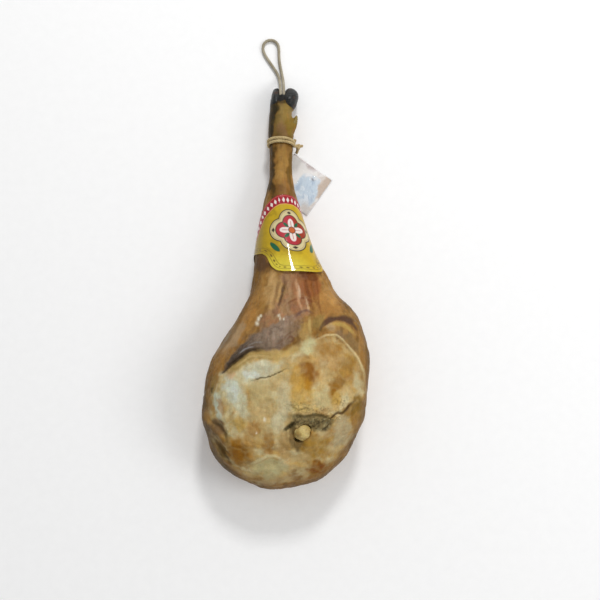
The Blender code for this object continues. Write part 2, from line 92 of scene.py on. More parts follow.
TOE_WEB = (
    (0.3340, -0.0085, -0.0085, 0.036, 0.036, 0.036, 2.0),
    (0.3365, -0.0155, -0.0015, 0.036, 0.0420, 0.026, 2.0),
    (0.3400, -0.0165, -0.0005, 0.035, 0.0430, 0.024, 2.0),
    (0.3435, -0.0145, -0.0025, 0.034, 0.0415, 0.026, 2.0),
    (0.3455, -0.0085, -0.0085, 0.034, 0.034, 0.034, 2.0),
)
DEWCLAW_TIP = (
    (0.2800, 0.0125, 0.0125, 0.036, 0.036, 0.036, 2.0),
    (0.2860, 0.0080, 0.0168, 0.036, 0.0420, 0.0295, 2.0),
    (0.2930, 0.0098, 0.0190, 0.036, 0.0420, 0.0295, 2.0),
    (0.3020, 0.0138, 0.0195, 0.035, 0.0385, 0.0315, 2.0),
    (0.3062, 0.0178, 0.0178, 0.035, 0.035, 0.035, 2.0),
)
# The horn starts beyond this line across the foot: pixels across and down in the photo.
HORN_EDGE = ((268, 101), (275, 99.5), (280, 101.5), (285, 99.5), (289, 102), (293, 106), (297, 111))
HORN_SUNK = 0.0045
# Lower down the foot the horn starts beyond this place along the leg, under this height.
HORN_LOW_START = 0.3300
HORN_LOW_TOP = 0.0330
CLAW_GROWN = 0.0005
CLAW_RINGS = 90
CLAW_POINTS = 96
CLAW_RIDGE = 0.00016
CLAW_RIDGE_STEP = 0.0042
CLAW_LUMPS = 0.0003

HAM_VOXEL = 0.00212
HAM_SMOOTH_ROUNDS = 22
FLAT_BELOW = 0.0006

BONE_CENTRE = (0.0272, -0.2608, 0.1370)
BONE_RADII = (0.0150, 0.0142, 0.0128)
BONE_NECK_RADIUS = 0.0095
BONE_NECK_END = 0.0200
BONE_SIDES = 96
BONE_RINGS = 60
BONE_LUMPS = 0.0046
BONE_PITS = 0.0005

BAND_FACING = 15.0
# Degrees from the band's middle, then where its upper and its lower edge lie along the leg.
BAND_EDGES = (
    (0.0, 0.1523, 0.0112),
    (22.0, 0.1508, 0.0110),
    (33.0, 0.1475, 0.0130),
    (42.0, 0.1442, 0.0205),
    (50.0, 0.1400, 0.0385),
    (60.0, 0.1345, 0.0443),
    (80.0, 0.1205, 0.0450),
    (105.0, 0.0870, 0.0451),
    (130.0, 0.0690, 0.0290),
    (180.0, 0.0560, 0.0120),
)
BAND_ROUNDING = 5
# On the right the edges are read this many degrees later, so that the corner hangs lower there.
CORNER_SHIFT = 12.0
BAND_CLEAR = 0.0012
BAND_THICKNESS = 0.0008
# Where the paper stands off the leg: degrees, reach in degrees, how far at the lower edge.
BAND_LIFTS = ((-122.0, 26.0, 0.0036), (58.0, 14.0, 0.0022))
# A pucker in the paper: it starts at the first place and widens towards the second, which lies on the
# lower edge. Each place: degrees to the right of straight up, metres along the leg.
PUCKER = ((9.2, 0.0610), (4.7, 0.0112))
PUCKER_SLOPE = 0.060
PUCKER_SPREAD = 0.35
BAND_SIDES = 420
BAND_ROWS = 190

TWINE_DIAMETER = 0.0055
TWINE_CLEAR = 0.0007
TWINE_STRANDS = 3
TWINE_PITCH = 0.0150
STRAND_SIDES = 10
STRAND_SHARE = 0.68
ANKLE_TURNS = 2
ANKLE_STEP = 0.0059
ANKLE_START = 0.2480
ANKLE_ARCH = 0.0035
KNOT_PLACE = (0.0205, 0.2478, 0.0350)
KNOT_REACH = 0.0030
KNOT_LONG_END = ((0.0190, 0.2478, 0.0350), (0.0240, 0.2490, 0.0330), (0.0280, 0.2512, 0.0290))
KNOT_SHORT_END = ((0.0185, 0.2478, 0.0350), (0.0195, 0.2440, 0.0270), (0.0175, 0.2410, 0.0185))
LOOP_POINTS = (
    (-0.0115, 0.3420, 0.0372), (-0.0116, 0.3500, 0.0366), (-0.0119, 0.3580, 0.0330),
    (-0.0123, 0.3650, 0.0262), (-0.0128, 0.3715, 0.0180), (-0.0135, 0.3785, 0.0098),
    (-0.0148, 0.3860, 0.0046), (-0.0180, 0.3950, 0.0030), (-0.0232, 0.4040, 0.0029),
    (-0.0292, 0.4130, 0.0029), (-0.0355, 0.4225, 0.0029), (-0.0416, 0.4323, 0.0029),
    (-0.0452, 0.4430, 0.0029), (-0.0437, 0.4535, 0.0029), (-0.0355, 0.4602, 0.0029),
    (-0.0250, 0.4597, 0.0029), (-0.0177, 0.4525, 0.0029), (-0.0156, 0.4425, 0.0029),
    (-0.0154, 0.4323, 0.0029), (-0.0146, 0.4210, 0.0029), (-0.0127, 0.4090, 0.0029),
    (-0.0103, 0.3975, 0.0030), (-0.0083, 0.3868, 0.0046), (-0.0072, 0.3785, 0.0098),
    (-0.0066, 0.3715, 0.0180), (-0.0062, 0.3650, 0.0262), (-0.0059, 0.3580, 0.0330),
    (-0.0057, 0.3500, 0.0366), (-0.0056, 0.3420, 0.0372),
)

TAG_TIED = (0.0129, 0.2439)
TAG_RIGHT = (0.0851, 0.1942)
TAG_LEFT = (-0.0352, 0.1754)
TAG_THICKNESS = 0.0014
TAG_REST = 0.0010
TAG_LIFT = 0.0120
TAG_BEND = 0.0480
TAG_STEPS = 90


# Shapes and noise in numbers.
def smooth_step(value):
    value = np.clip(value, 0.0, 1.0)
    return value * value * (3.0 - 2.0 * value)


def hashed(cells, seed):
    """A number from 0 to 1 for each cell of a lattice, the same on every run."""
    x, y, z = (cells[:, axis] & 0xFFFF for axis in range(3))
    mixed = (x * 73856093) ^ (y * 19349663) ^ (z * 83492791) ^ (seed * 2654435)
    mixed = ((mixed ^ (mixed >> 13)) * 1274126177) & 0xFFFFFFFF
    mixed = ((mixed ^ (mixed >> 15)) * 2246822519) & 0xFFFFFFFF
    return ((mixed ^ (mixed >> 16)) & 0xFFFFFF) / 0xFFFFFF


def noise(points, size, seed=0):
    """Smooth noise from -1 to 1, with lumps about size across."""
    scaled = points / np.asarray(size, float) + 1000.0
    cell = np.floor(scaled).astype(np.int64)
    part = smooth_step(scaled - cell)
    total = np.zeros(len(points))
    for corner in itertools.product((0, 1), repeat=3):
        share = np.prod(np.where(corner, part, 1 - part), axis=1)
        total += share * hashed(cell + np.array(corner), seed)
    return 2 * total - 1


def layered(points, size, seed=0, layers=3):
    """Noise with finer and weaker layers on top."""
    total = np.zeros(len(points))
    for layer in range(layers):
        total += noise(points, np.asarray(size, float) / 2**layer, seed + layer) / 2**layer
    return total / 1.5


def catmull_rom(points, count):
    """Reads a smooth curve from the second point to the last but one."""
    steps = np.linspace(0, len(points) - 3, count)
    first = np.minimum(steps.astype(int), len(points) - 4)
    t = (steps - first)[:, None]
    p0, p1, p2, p3 = (points[first + k] for k in range(4))
    return 0.5 * (
        2 * p1
        + (p2 - p0) * t
        + (2 * p0 - 5 * p1 + 4 * p2 - p3) * t**2
        + (3 * p1 - p0 - 3 * p2 + p3) * t**3
    )


def curve_through(points, count):
    points = np.asarray(points, float)
    before = 2 * points[0] - points[1]
    after = 2 * points[-1] - points[-2]
    return catmull_rom(np.vstack([before, points, after]), count)


def turned_over(station):
    """The same station seen beyond a closed end: its sides and its top and underside swap."""
    place, left, right, side, top, under, square = station
    return (place, right, left, side, under, top, square)


def section_points(section, angles):
    """Points round one section. An angle of 90 degrees is straight up."""
    place, left, right, side, top, under, square = section
    across, up = np.cos(angles), np.sin(angles)
    x = (left + right) / 2 + (right - left) / 2 * np.sign(across) * np.abs(across) ** (2 / square)
    reach = np.where(up > 0, top - side, side - under)
    z = side + reach * np.sign(up) * np.abs(up) ** (2 / square)
    return np.stack([x, np.full_like(x, place), z], axis=1)


SHANK_SMOOTH = curve_through(SHANK_STATIONS, 600)
# What growing does to a section: its sides, its top and its underside move out.
GROWTH = np.array((0.0, -1.0, 1.0, 0.0, 1.0, -1.0, 0.0))


def leg_section(place, grown):
    """The leg's section at a place along the shank, made larger by grown."""
    section = np.array([np.interp(place, SHANK_SMOOTH[:, 0], SHANK_SMOOTH[:, k]) for k in range(7)])
    section[0] = place
    return section + grown * GROWTH


def round_angles(count):
    return np.linspace(0, 2 * math.pi, count, endpoint=False)


def path_steps(path):
    return np.linalg.norm(np.diff(path, axis=0), axis=1)


def path_length(path):
    return float(path_steps(path).sum())


def gone_along(path):
    """How far along the path each of its points lies."""
    return np.concatenate([[0.0], np.cumsum(path_steps(path))])


def cloud(points, size, seed, low, high):
    """Blotches with crooked edges: 0 where the noise is under low, 1 where it is over high."""
    bent = points + 0.45 * size * np.stack([noise(points, size, seed + k) for k in (7, 8, 9)], axis=1)
    return smooth_step((layered(bent, size, seed, 4) - low) / (high - low))


def veins(points, size, seed, width=0.10):
    """Thin crooked lines: 1 on a line and 0 beside it."""
    return smooth_step(1.0 - np.abs(layered(points, size, seed)) / width)


def broken(share, points, seed, size=0.011, far=0.34):
    """Gives a soft edge bays and islands."""
    near = np.flatnonzero(share > 0.01)
    edge = np.zeros(len(points))
    edge[near] = smooth_step((share[near] + far * layered(points[near], size, seed, 4) - 0.14) / 0.70)
    return edge


def along_line(flat, line, reach=math.inf):
    """For points within reach of a line: how far off it they are, and how far along it, from 0 to 1."""
    line = np.asarray(line, float)
    best = np.full(len(flat), np.inf)
    place = np.zeros(len(flat))
    near = np.flatnonzero(np.all((flat > line.min(0) - reach) & (flat < line.max(0) + reach), axis=1))
    spots = flat[near]
    found, where = best[near], place[near]
    gone = gone_along(line)
    for start, end, first, step in zip(line[:-1], line[1:], gone, path_steps(line)):
        share = np.clip(((spots - start) @ (end - start)) / step**2, 0, 1)
        away = np.linalg.norm(spots - start - share[:, None] * (end - start), axis=1)
        nearer = away < found
        found[nearer] = away[nearer]
        where[nearer] = (first + share[nearer] * step) / gone[-1]
    best[near], place[near] = found, where
    return best, place


def stroke(flat, points, line, half_width, softness, seed=5):
    """How much of a line shows: it wavers on its way and thins out towards its ends."""
    away, place = along_line(flat, curve_through(line, 6 * len(line)), 2 * half_width + softness)
    near = np.flatnonzero(away < 2 * half_width + softness)
    taper = smooth_step(np.minimum(place, 1 - place)[near] / 0.24)
    width = half_width * (0.2 + 0.8 * taper) * (1 + 0.35 * noise(points[near], 0.014, seed))
    share = np.zeros(len(flat))
    share[near] = smooth_step(1 - (away[near] - width) / softness) * (0.3 + 0.7 * taper)
    return share


def inside(flat, outline):
    """True for each point that lies in the outline."""
    found = np.zeros(len(flat), bool)
    for (x1, y1), (x2, y2) in zip(outline, outline[1:] + outline[:1]):
        crosses = (y1 > flat[:, 1]) != (y2 > flat[:, 1])
        height = (y2 - y1) or 1.0
        found ^= crosses & (flat[:, 0] < (x2 - x1) * (flat[:, 1] - y1) / height + x1)
    return found


def within(flat, outline, edge):
    """1 inside the outline, 0 outside it, with a soft edge of that width."""
    away = along_line(flat, outline + outline[:1])[0]
    return smooth_step(0.5 + np.where(inside(flat, outline), away, -away) / edge)


# Meshes.
def link(obj):
    bpy.context.scene.collection.objects.link(obj)
    return obj


def new_piece(points, faces, name):
    mesh = bpy.data.meshes.new(name)
    mesh.from_pydata(np.asarray(points, float).tolist(), [], faces)
    mesh.validate()
    bm = bmesh.new()
    bm.from_mesh(mesh)
    bmesh.ops.recalc_face_normals(bm, faces=bm.faces)
    bm.to_mesh(mesh)
    bm.free()
    mesh.shade_smooth()
    return link(bpy.data.objects.new(name, mesh))


def ring_faces(rings, sides, first=0):
    """Faces between rings of points, with a face on each end ring."""
    faces = []
    for ring in range(rings - 1):
        for side in range(sides):
            after = (side + 1) % sides
            low, high = first + ring * sides, first + (ring + 1) * sides
            faces.append((low + side, low + after, high + after, high + side))
    faces.append(tuple(range(first, first + sides)))
    faces.append(tuple(range(first + (rings - 1) * sides, first + rings * sides)))
    return faces


def mesh_values(mesh, what):
    values = np.empty(len(mesh.vertices) * 3, np.float32)
    mesh.vertices.foreach_get(what, values)
    return values.reshape(-1, 3).astype(float)


def set_points(mesh, points):
    mesh.vertices.foreach_set("co", points.astype(np.float32).ravel())
    mesh.update()


def paint(mesh, name, colours):
    """Keeps a colour for each point of the mesh. Colours are linear, from 0 to 1."""
    layer = mesh.color_attributes.new(name, "FLOAT_COLOR", "POINT")
    full = np.ones((len(colours), 4), np.float32)
    full[:, :3] = np.clip(colours, 0.0, 1.0)
    layer.data.foreach_set("color", full.ravel())


def keep_number(mesh, name, values):
    layer = mesh.attributes.new(name, "FLOAT", "POINT")
    layer.data.foreach_set("value", values.astype(np.float32))


def linear(colour):
    """A colour as it shows on a screen, from 0 to 255, as the light it stands for."""
    shown = np.asarray(colour, float) / 255.0
    return np.where(shown <= 0.04045, shown / 12.92, ((shown + 0.055) / 1.055) ** 2.4)


def mixed(colours, colour, share):
    return colours + (linear(colour) - colours) * np.clip(share, 0, 1)[:, None]


def layers(colours, *steps):
    """Lays one colour after another over the last. Each step is a colour and its share at each point."""
    for colour, share in steps:
        colours = mixed(colours, colour, share)
    return colours


def dressed(piece, nodes, look):
    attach(piece, "root")
    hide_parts(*nodes)
    piece.data.materials.clear()
    piece.data.materials.append(look)
    return piece


# The photo's view.
VIEW_AHEAD = (CAMERA_TARGET - CAMERA_PLACE) / np.linalg.norm(CAMERA_TARGET - CAMERA_PLACE)
VIEW_RIGHT = np.array((1.0, 0.0, 0.0))
VIEW_UP = np.cross(VIEW_RIGHT, VIEW_AHEAD)
VIEW_REACH = np.linalg.norm(CAMERA_TARGET - CAMERA_PLACE) / PIXEL


def photo_pixels(points):
    """Where each point lies in the photo: pixels across and down."""
    from_camera = points - CAMERA_PLACE
    depth = from_camera @ VIEW_AHEAD
    across = PHOTO_PIXELS / 2 + (from_camera @ VIEW_RIGHT) / depth * VIEW_REACH
    down = PHOTO_PIXELS / 2 - (from_camera @ VIEW_UP) / depth * VIEW_REACH
    return np.stack([across, down], axis=1)


def make_camera():
    data = bpy.data.cameras.new("photo_view")
    data.sensor_width = SENSOR
    data.lens = VIEW_REACH * SENSOR / PHOTO_PIXELS
    data.clip_start = 0.05
    camera = link(bpy.data.objects.new("photo_view", data))
    turn = Matrix((VIEW_RIGHT, VIEW_UP, -VIEW_AHEAD)).transposed()
    camera.matrix_world = Matrix.Translation(CAMERA_PLACE) @ turn.to_4x4()
    bpy.context.scene.camera = camera


# Materials. Each helper adds one node and gives back its output.
class Look:
    """A material with a Principled shader."""

    def __init__(self, name):
        self.material = bpy.data.materials.new(name)
        self.material.use_nodes = True
        self.tree = self.material.node_tree
        self.shader = self.tree.nodes["Principled BSDF"]
        self.place = self.node("ShaderNodeTexCoord", "Object")

    def feed(self, socket, value):
        """Links a socket of another node, or sets a constant."""
        if isinstance(value, bpy.types.NodeSocket):
            self.tree.links.new(value, socket)
        else:
            socket.default_value = value

    def node(self, kind, output, inputs=None, **settings):
        """Adds a node with its settings, feeds its inputs and gives back one of its outputs."""
        node = self.tree.nodes.new(kind)
        for name, value in settings.items():
            setattr(node, name, value)
        for name, value in (inputs or {}).items():
            self.feed(node.inputs[name], value)
        return node.outputs[output]

    def fixed(self, **values):
        """Constants on the shader's own sockets."""
        for name, value in values.items():
            self.shader.inputs[name.replace("_", " ")].default_value = value

    def attribute(self, name, output="Color"):
        return self.node("ShaderNodeAttribute", output, attribute_name=name)

    def stretched(self, scale):
        return self.node("ShaderNodeVectorMath", "Vector", {0: self.place, 1: scale}, operation="MULTIPLY")

    def noise(self, scale, detail=3.0, roughness=0.55, place=None):
        inputs = {"Vector": place or self.place, "Scale": scale, "Detail": detail, "Roughness": roughness}
        return self.node("ShaderNodeTexNoise", "Fac", inputs)

    def cells(self, scale):
        inputs = {"Vector": self.place, "Scale": scale}
        return self.node("ShaderNodeTexVoronoi", "Distance", inputs, feature="F1")

    def ranged(self, value, to_low, to_high, low=0.3, high=0.7):
        """Takes values from low to high to a new range. Most noise lies between 0.3 and 0.7."""
        inputs = {"Value": value, "From Min": low, "From Max": high, "To Min": to_low, "To Max": to_high}
        return self.node("ShaderNodeMapRange", "Result", inputs)

    def maths(self, operation, first, second):
        return self.node("ShaderNodeMath", "Value", {0: first, 1: second}, operation=operation)

    def scaled(self, colour, share):
        """A colour made brighter or darker by a number."""
        return self.node("ShaderNodeVectorMath", "Vector", {0: colour, "Scale": share}, operation="SCALE")

    def blended(self, share, first, second):
        return self.node("ShaderNodeMix", 2, {"Factor": share, 6: first, 7: second}, data_type="RGBA")

    def bump(self, height, distance, strength=1.0, over=None):
        inputs = {"Distance": distance, "Strength": strength, "Height": height}
        if over:
            inputs["Normal"] = over
        return self.node("ShaderNodeBump", "Normal", inputs)

    def finish(self, colour, roughness, normal):
        for name, value in {"Base Color": colour, "Roughness": roughness, "Normal": normal}.items():
            self.feed(self.shader.inputs[name], value)
        return self.material


def rgba(colour):
    return (*linear(colour), 1.0)


def meat_look():
    look = Look("cured_meat_and_rind")
    grainy = look.attribute("grainy", "Fac")
    clouds = look.noise(95.0, 5.0, 0.62)
    grain = look.noise(430.0, 4.0, 0.6)
    specks = look.noise(300.0, 2.0, 0.5)
    fibres = look.noise(60.0, 3.0, 0.6, look.stretched((7.0, 1.0, 7.0)))
    pores = look.cells(330.0)
    colour = look.scaled(look.attribute("painted"), look.ranged(grain, 0.93, 1.06))
    colour = look.scaled(colour, look.ranged(clouds, 0.92, 1.07, 0.34, 0.66))
    colour = look.scaled(colour, look.ranged(fibres, 0.93, 1.06))
    dark = look.maths("MULTIPLY", look.ranged(specks, 0, 0.46, 0.48, 0.64), grainy)
    colour = look.scaled(colour, look.maths("SUBTRACT", 1.06, dark))
    rough = look.attribute("rough", "Fac")
    rough = look.maths("ADD", rough, look.ranged(clouds, -0.10, 0.10))
    normal = look.bump(clouds, 0.0016, 0.5)
    normal = look.bump(grain, 0.0005, 0.4, normal)
    normal = look.bump(pores, 0.0003, 0.3, normal)
    look.fixed(Subsurface_Weight=0.05, Subsurface_Scale=0.003, Specular_IOR_Level=0.16)
    return look.finish(colour, rough, normal)


def horn_look(name, dark, light, stain):
    look = Look(name)
    streaks = look.noise(90.0, 3.0, 0.6, look.stretched((5.0, 1.0, 5.0)))
    stains = look.noise(85.0, 4.0)
    colour = look.blended(look.ranged(streaks, 0, 1, 0.35, 0.7), rgba(dark), rgba(light))
    colour = look.blended(look.ranged(stains, 0, 0.7, 0.54, 0.72), colour, rgba(stain))
    normal = look.bump(streaks, 0.0005, 0.6)
    look.fixed(Specular_IOR_Level=0.3)
    return look.finish(colour, look.ranged(stains, 0.34, 0.55), normal)


def bone_look():
    look = Look("bone")
    grain = look.noise(380.0, 4.0)
    patches = look.noise(85.0, 4.0, 0.6)
    colour = look.blended(look.ranged(patches, 0, 1, 0.38, 0.64), rgba((200, 178, 112)), rgba((160, 130, 68)))
    colour = look.scaled(colour, look.ranged(grain, 0.84, 1.08))
    look.fixed(Subsurface_Weight=0.06, Subsurface_Scale=0.003, Specular_IOR_Level=0.35)
    return look.finish(colour, look.ranged(grain, 0.42, 0.6), look.bump(patches, 0.0014, 0.6))


def twine_look(name, pale, dark):
    look = Look(name)
    fibres = look.noise(700.0, 3.0, 0.7)
    tone = look.noise(60.0, 3.0)
    colour = look.blended(look.ranged(tone, 0, 1, 0.35, 0.7), rgba(pale), rgba(dark))
    colour = look.scaled(colour, look.ranged(fibres, 0.76, 1.16))
    look.fixed(Sheen_Weight=0.1, Specular_IOR_Level=0.2)
    return look.finish(colour, look.ranged(fibres, 0.8, 0.98), look.bump(fibres, 0.0006, 0.8))


def paper_look():
    look = Look("glossy_paper")
    fibres = look.noise(500.0, 3.0)
    stains = look.noise(120.0, 4.0, 0.65)
    colour = look.scaled(look.attribute("painted"), look.ranged(fibres, 0.95, 1.04))
    colour = look.scaled(colour, look.ranged(stains, 1.03, 0.88, 0.35, 0.7))
    dents = look.noise(30.0, 2.0)
    look.fixed(Coat_Weight=0.75, Coat_Roughness=0.07, Coat_IOR=1.42, Specular_IOR_Level=0.1)
    return look.finish(colour, look.ranged(fibres, 0.4, 0.5), look.bump(dents, 0.0005, 0.3))


def leaflet_look():
    look = Look("printed_leaflet")
    fibres = look.noise(400.0, 3.0)
    colour = look.scaled(look.attribute("painted"), look.ranged(fibres, 0.95, 1.05))
    return look.finish(colour, look.ranged(fibres, 0.45, 0.6), look.bump(fibres, 0.0003, 0.3))


def film_look():
    look = Look("clear_film")
    creases = look.noise(85.0, 4.0, 0.65)
    colour = look.blended(look.ranged(creases, 0, 1, 0.45, 0.7), rgba((236, 234, 236)), rgba((250, 250, 252)))
    look.fixed(Alpha=0.13, Specular_IOR_Level=1.0)
    return look.finish(colour, look.ranged(creases, 0.05, 0.16), look.bump(creases, 0.0035, 0.9))


def floor_look():
    look = Look("pale_floor")
    grain = look.noise(60.0, 3.0)
    greys = (0.94, 0.94, 0.94, 1.0), (0.96, 0.96, 0.96, 1.0)
    colour = look.blended(look.ranged(grain, 0, 1), *greys)
    return look.finish(colour, look.ranged(grain, 0.85, 0.95), look.bump(grain, 0.0002, 0.2))


# Twine.
def path_frames(path):
    """For each point of the path, two directions across it that turn as little as they can."""
    along = np.gradient(path, axis=0)
    along /= np.linalg.norm(along, axis=1, keepdims=True)
    across = np.empty_like(path)
    guess = np.array(Vector(along[0]).orthogonal().normalized())
    for index, ahead in enumerate(along):
        guess = guess - ahead * (guess @ ahead)
        guess /= np.linalg.norm(guess)
        across[index] = guess
    return across, np.cross(along, across)


def twisted(path, name):
    """Twine along a path: strands that wind round each other."""
    strand = TWINE_DIAMETER / 2 * STRAND_SHARE
    orbit = TWINE_DIAMETER / 2 - strand
    across, up = path_frames(path)
    gone = gone_along(path)
    points, faces = [], []
    sides = round_angles(STRAND_SIDES)
    for number in range(TWINE_STRANDS):
        turn = 2 * math.pi * (gone / TWINE_PITCH + number / TWINE_STRANDS)
        middle = path + orbit * (np.cos(turn)[:, None] * across + np.sin(turn)[:, None] * up)
        strand_across, strand_up = path_frames(middle)
        rings = middle[:, None] + strand * (
            np.cos(sides)[None, :, None] * strand_across[:, None]
            + np.sin(sides)[None, :, None] * strand_up[:, None]
        )
        faces += ring_faces(len(path), STRAND_SIDES, len(path) * STRAND_SIDES * number)
        points.append(rings.reshape(-1, 3))
    return new_piece(np.vstack(points), faces, name)


def make_hanging_loop():
    path = curve_through(LOOP_POINTS, 330)
    loop = twisted(path, "hanging_twine")
    dressed(loop, ["hanging_loop"], twine_look("grey_twine", (172, 163, 142), (146, 136, 114)))


def ankle_path(count):
    path = []
    for turn in np.linspace(0, ANKLE_TURNS, count):
        angle = math.radians(2.0) + 2 * math.pi * turn
        place = ANKLE_START + ANKLE_STEP * turn + ANKLE_ARCH * math.sin(angle)
        section = leg_section(place, TWINE_DIAMETER / 2 + TWINE_CLEAR)
        path.append(section_points(section, np.array([angle]))[0])
    return np.array(path)


def knot_path(count):
    """A half hitch drawn tight: a trefoil about the knot's place."""
    t = np.linspace(0, 2 * math.pi, count)
    bends = np.stack([np.sin(t) + 2 * np.sin(2 * t), np.cos(t) - 2 * np.cos(2 * t), -np.sin(3 * t)], axis=1)
    return np.array(KNOT_PLACE) + bends * KNOT_REACH / 3 * np.array((1.0, 1.2, 1.6))


def make_ankle_twine():
    look = twine_look("beige_twine", (204, 184, 136), (164, 138, 94))
    runs = {
        "ankle_turns": ankle_path(360),
        "ankle_knot": knot_path(120),
        "ankle_long_end": curve_through(KNOT_LONG_END, 40),
        "ankle_short_end": curve_through(KNOT_SHORT_END, 40),
    }
    for name, path in runs.items():
        dressed(twisted(path, name), ["ankle_twine"], look)


# Horn and bone.
def make_claw(stations, name, look):
    ends = [turned_over(stations[1]), *stations, turned_over(stations[-2])]
    smooth = catmull_rom(np.array(ends, float), CLAW_RINGS + 2)[1:-1]
    smooth += CLAW_GROWN * GROWTH
    angles = round_angles(CLAW_POINTS)
    points = np.vstack([section_points(section, angles) for section in smooth])
    growth_rings = CLAW_RIDGE * np.sin(points[:, 1:2] * 2 * math.pi / CLAW_RIDGE_STEP)
    middle = np.repeat([(s[1] + s[2]) / 2 for s in smooth], CLAW_POINTS)
    out = points - np.stack([middle, points[:, 1], np.repeat(smooth[:, 3], CLAW_POINTS)], axis=1)
    out /= np.maximum(np.linalg.norm(out, axis=1, keepdims=True), 1e-6)
    points += out * (growth_rings + CLAW_LUMPS * noise(points, 0.006, 5)[:, None])
    points[:, 2] = np.maximum(points[:, 2], 0.0)
    dressed(new_piece(points, ring_faces(CLAW_RINGS, CLAW_POINTS), name), ["ham"], look)


def make_bone():
    points = []
    angles = round_angles(BONE_SIDES)
    for ring in range(BONE_RINGS):
        down = math.pi * (ring + 0.35) / BONE_RINGS
        radius, height = math.sin(down), math.cos(down)
        if height < 0:
            radius = max(radius, BONE_NECK_RADIUS / BONE_RADII[0])
        if ring == BONE_RINGS - 1:
            height = -BONE_NECK_END / BONE_RADII[2]
        places = [np.cos(angles) * radius, np.sin(angles) * radius, angles * 0 + height]
        points.append(np.stack(places, axis=1) * BONE_RADII + BONE_CENTRE)
    points = np.vstack(points)
    out = points - BONE_CENTRE
    out /= np.linalg.norm(out, axis=1, keepdims=True)
    pits = BONE_PITS * smooth_step(noise(points, 0.0050, 37) * 2 - 0.4)
    points += out * np.minimum(layered(points, 0.019, 33) * BONE_LUMPS - pits, 0.0005)[:, None]
    bone = new_piece(points, ring_faces(BONE_RINGS, BONE_SIDES), "bone_head")
    dressed(bone, ["femur_head"], bone_look())


# Where things lie on the flesh side, in the photo's pixels.
FACE = [
    (222, 374), (212, 395), (209, 418), (213, 440), (224, 462), (245, 476), (270, 483), (300, 479),
    (325, 470), (342, 452), (353, 432), (360, 410), (363, 385), (362, 362), (352, 350), (335, 337),
    (314, 343), (300, 345), (275, 352), (250, 354), (236, 364),
]
BARE_MUSCLE = [
    (221, 373), (232, 354), (240, 347), (252, 335), (262, 330), (275, 324), (288, 316), (299, 313),
    (304, 320), (298, 332), (290, 342), (280, 349), (267, 350), (254, 350), (244, 357), (230, 368),
]
MEAT = [
    (281, 274), (290, 271), (304, 273), (310, 290), (309, 316), (290, 326), (262, 335), (256, 326),
    (270, 312), (280, 300),
]
HOLLOW = [
    (285, 431), (289, 425), (292, 421), (292, 416), (297, 415), (305, 416), (313, 415), (322, 415),
    (331, 417), (334, 421), (329, 430), (321, 432), (313, 431), (304, 427), (296, 427), (290, 429),
]
POCKET = [(288, 428), (296, 428), (303, 440), (304, 448), (298, 453), (292, 449), (289, 440)]

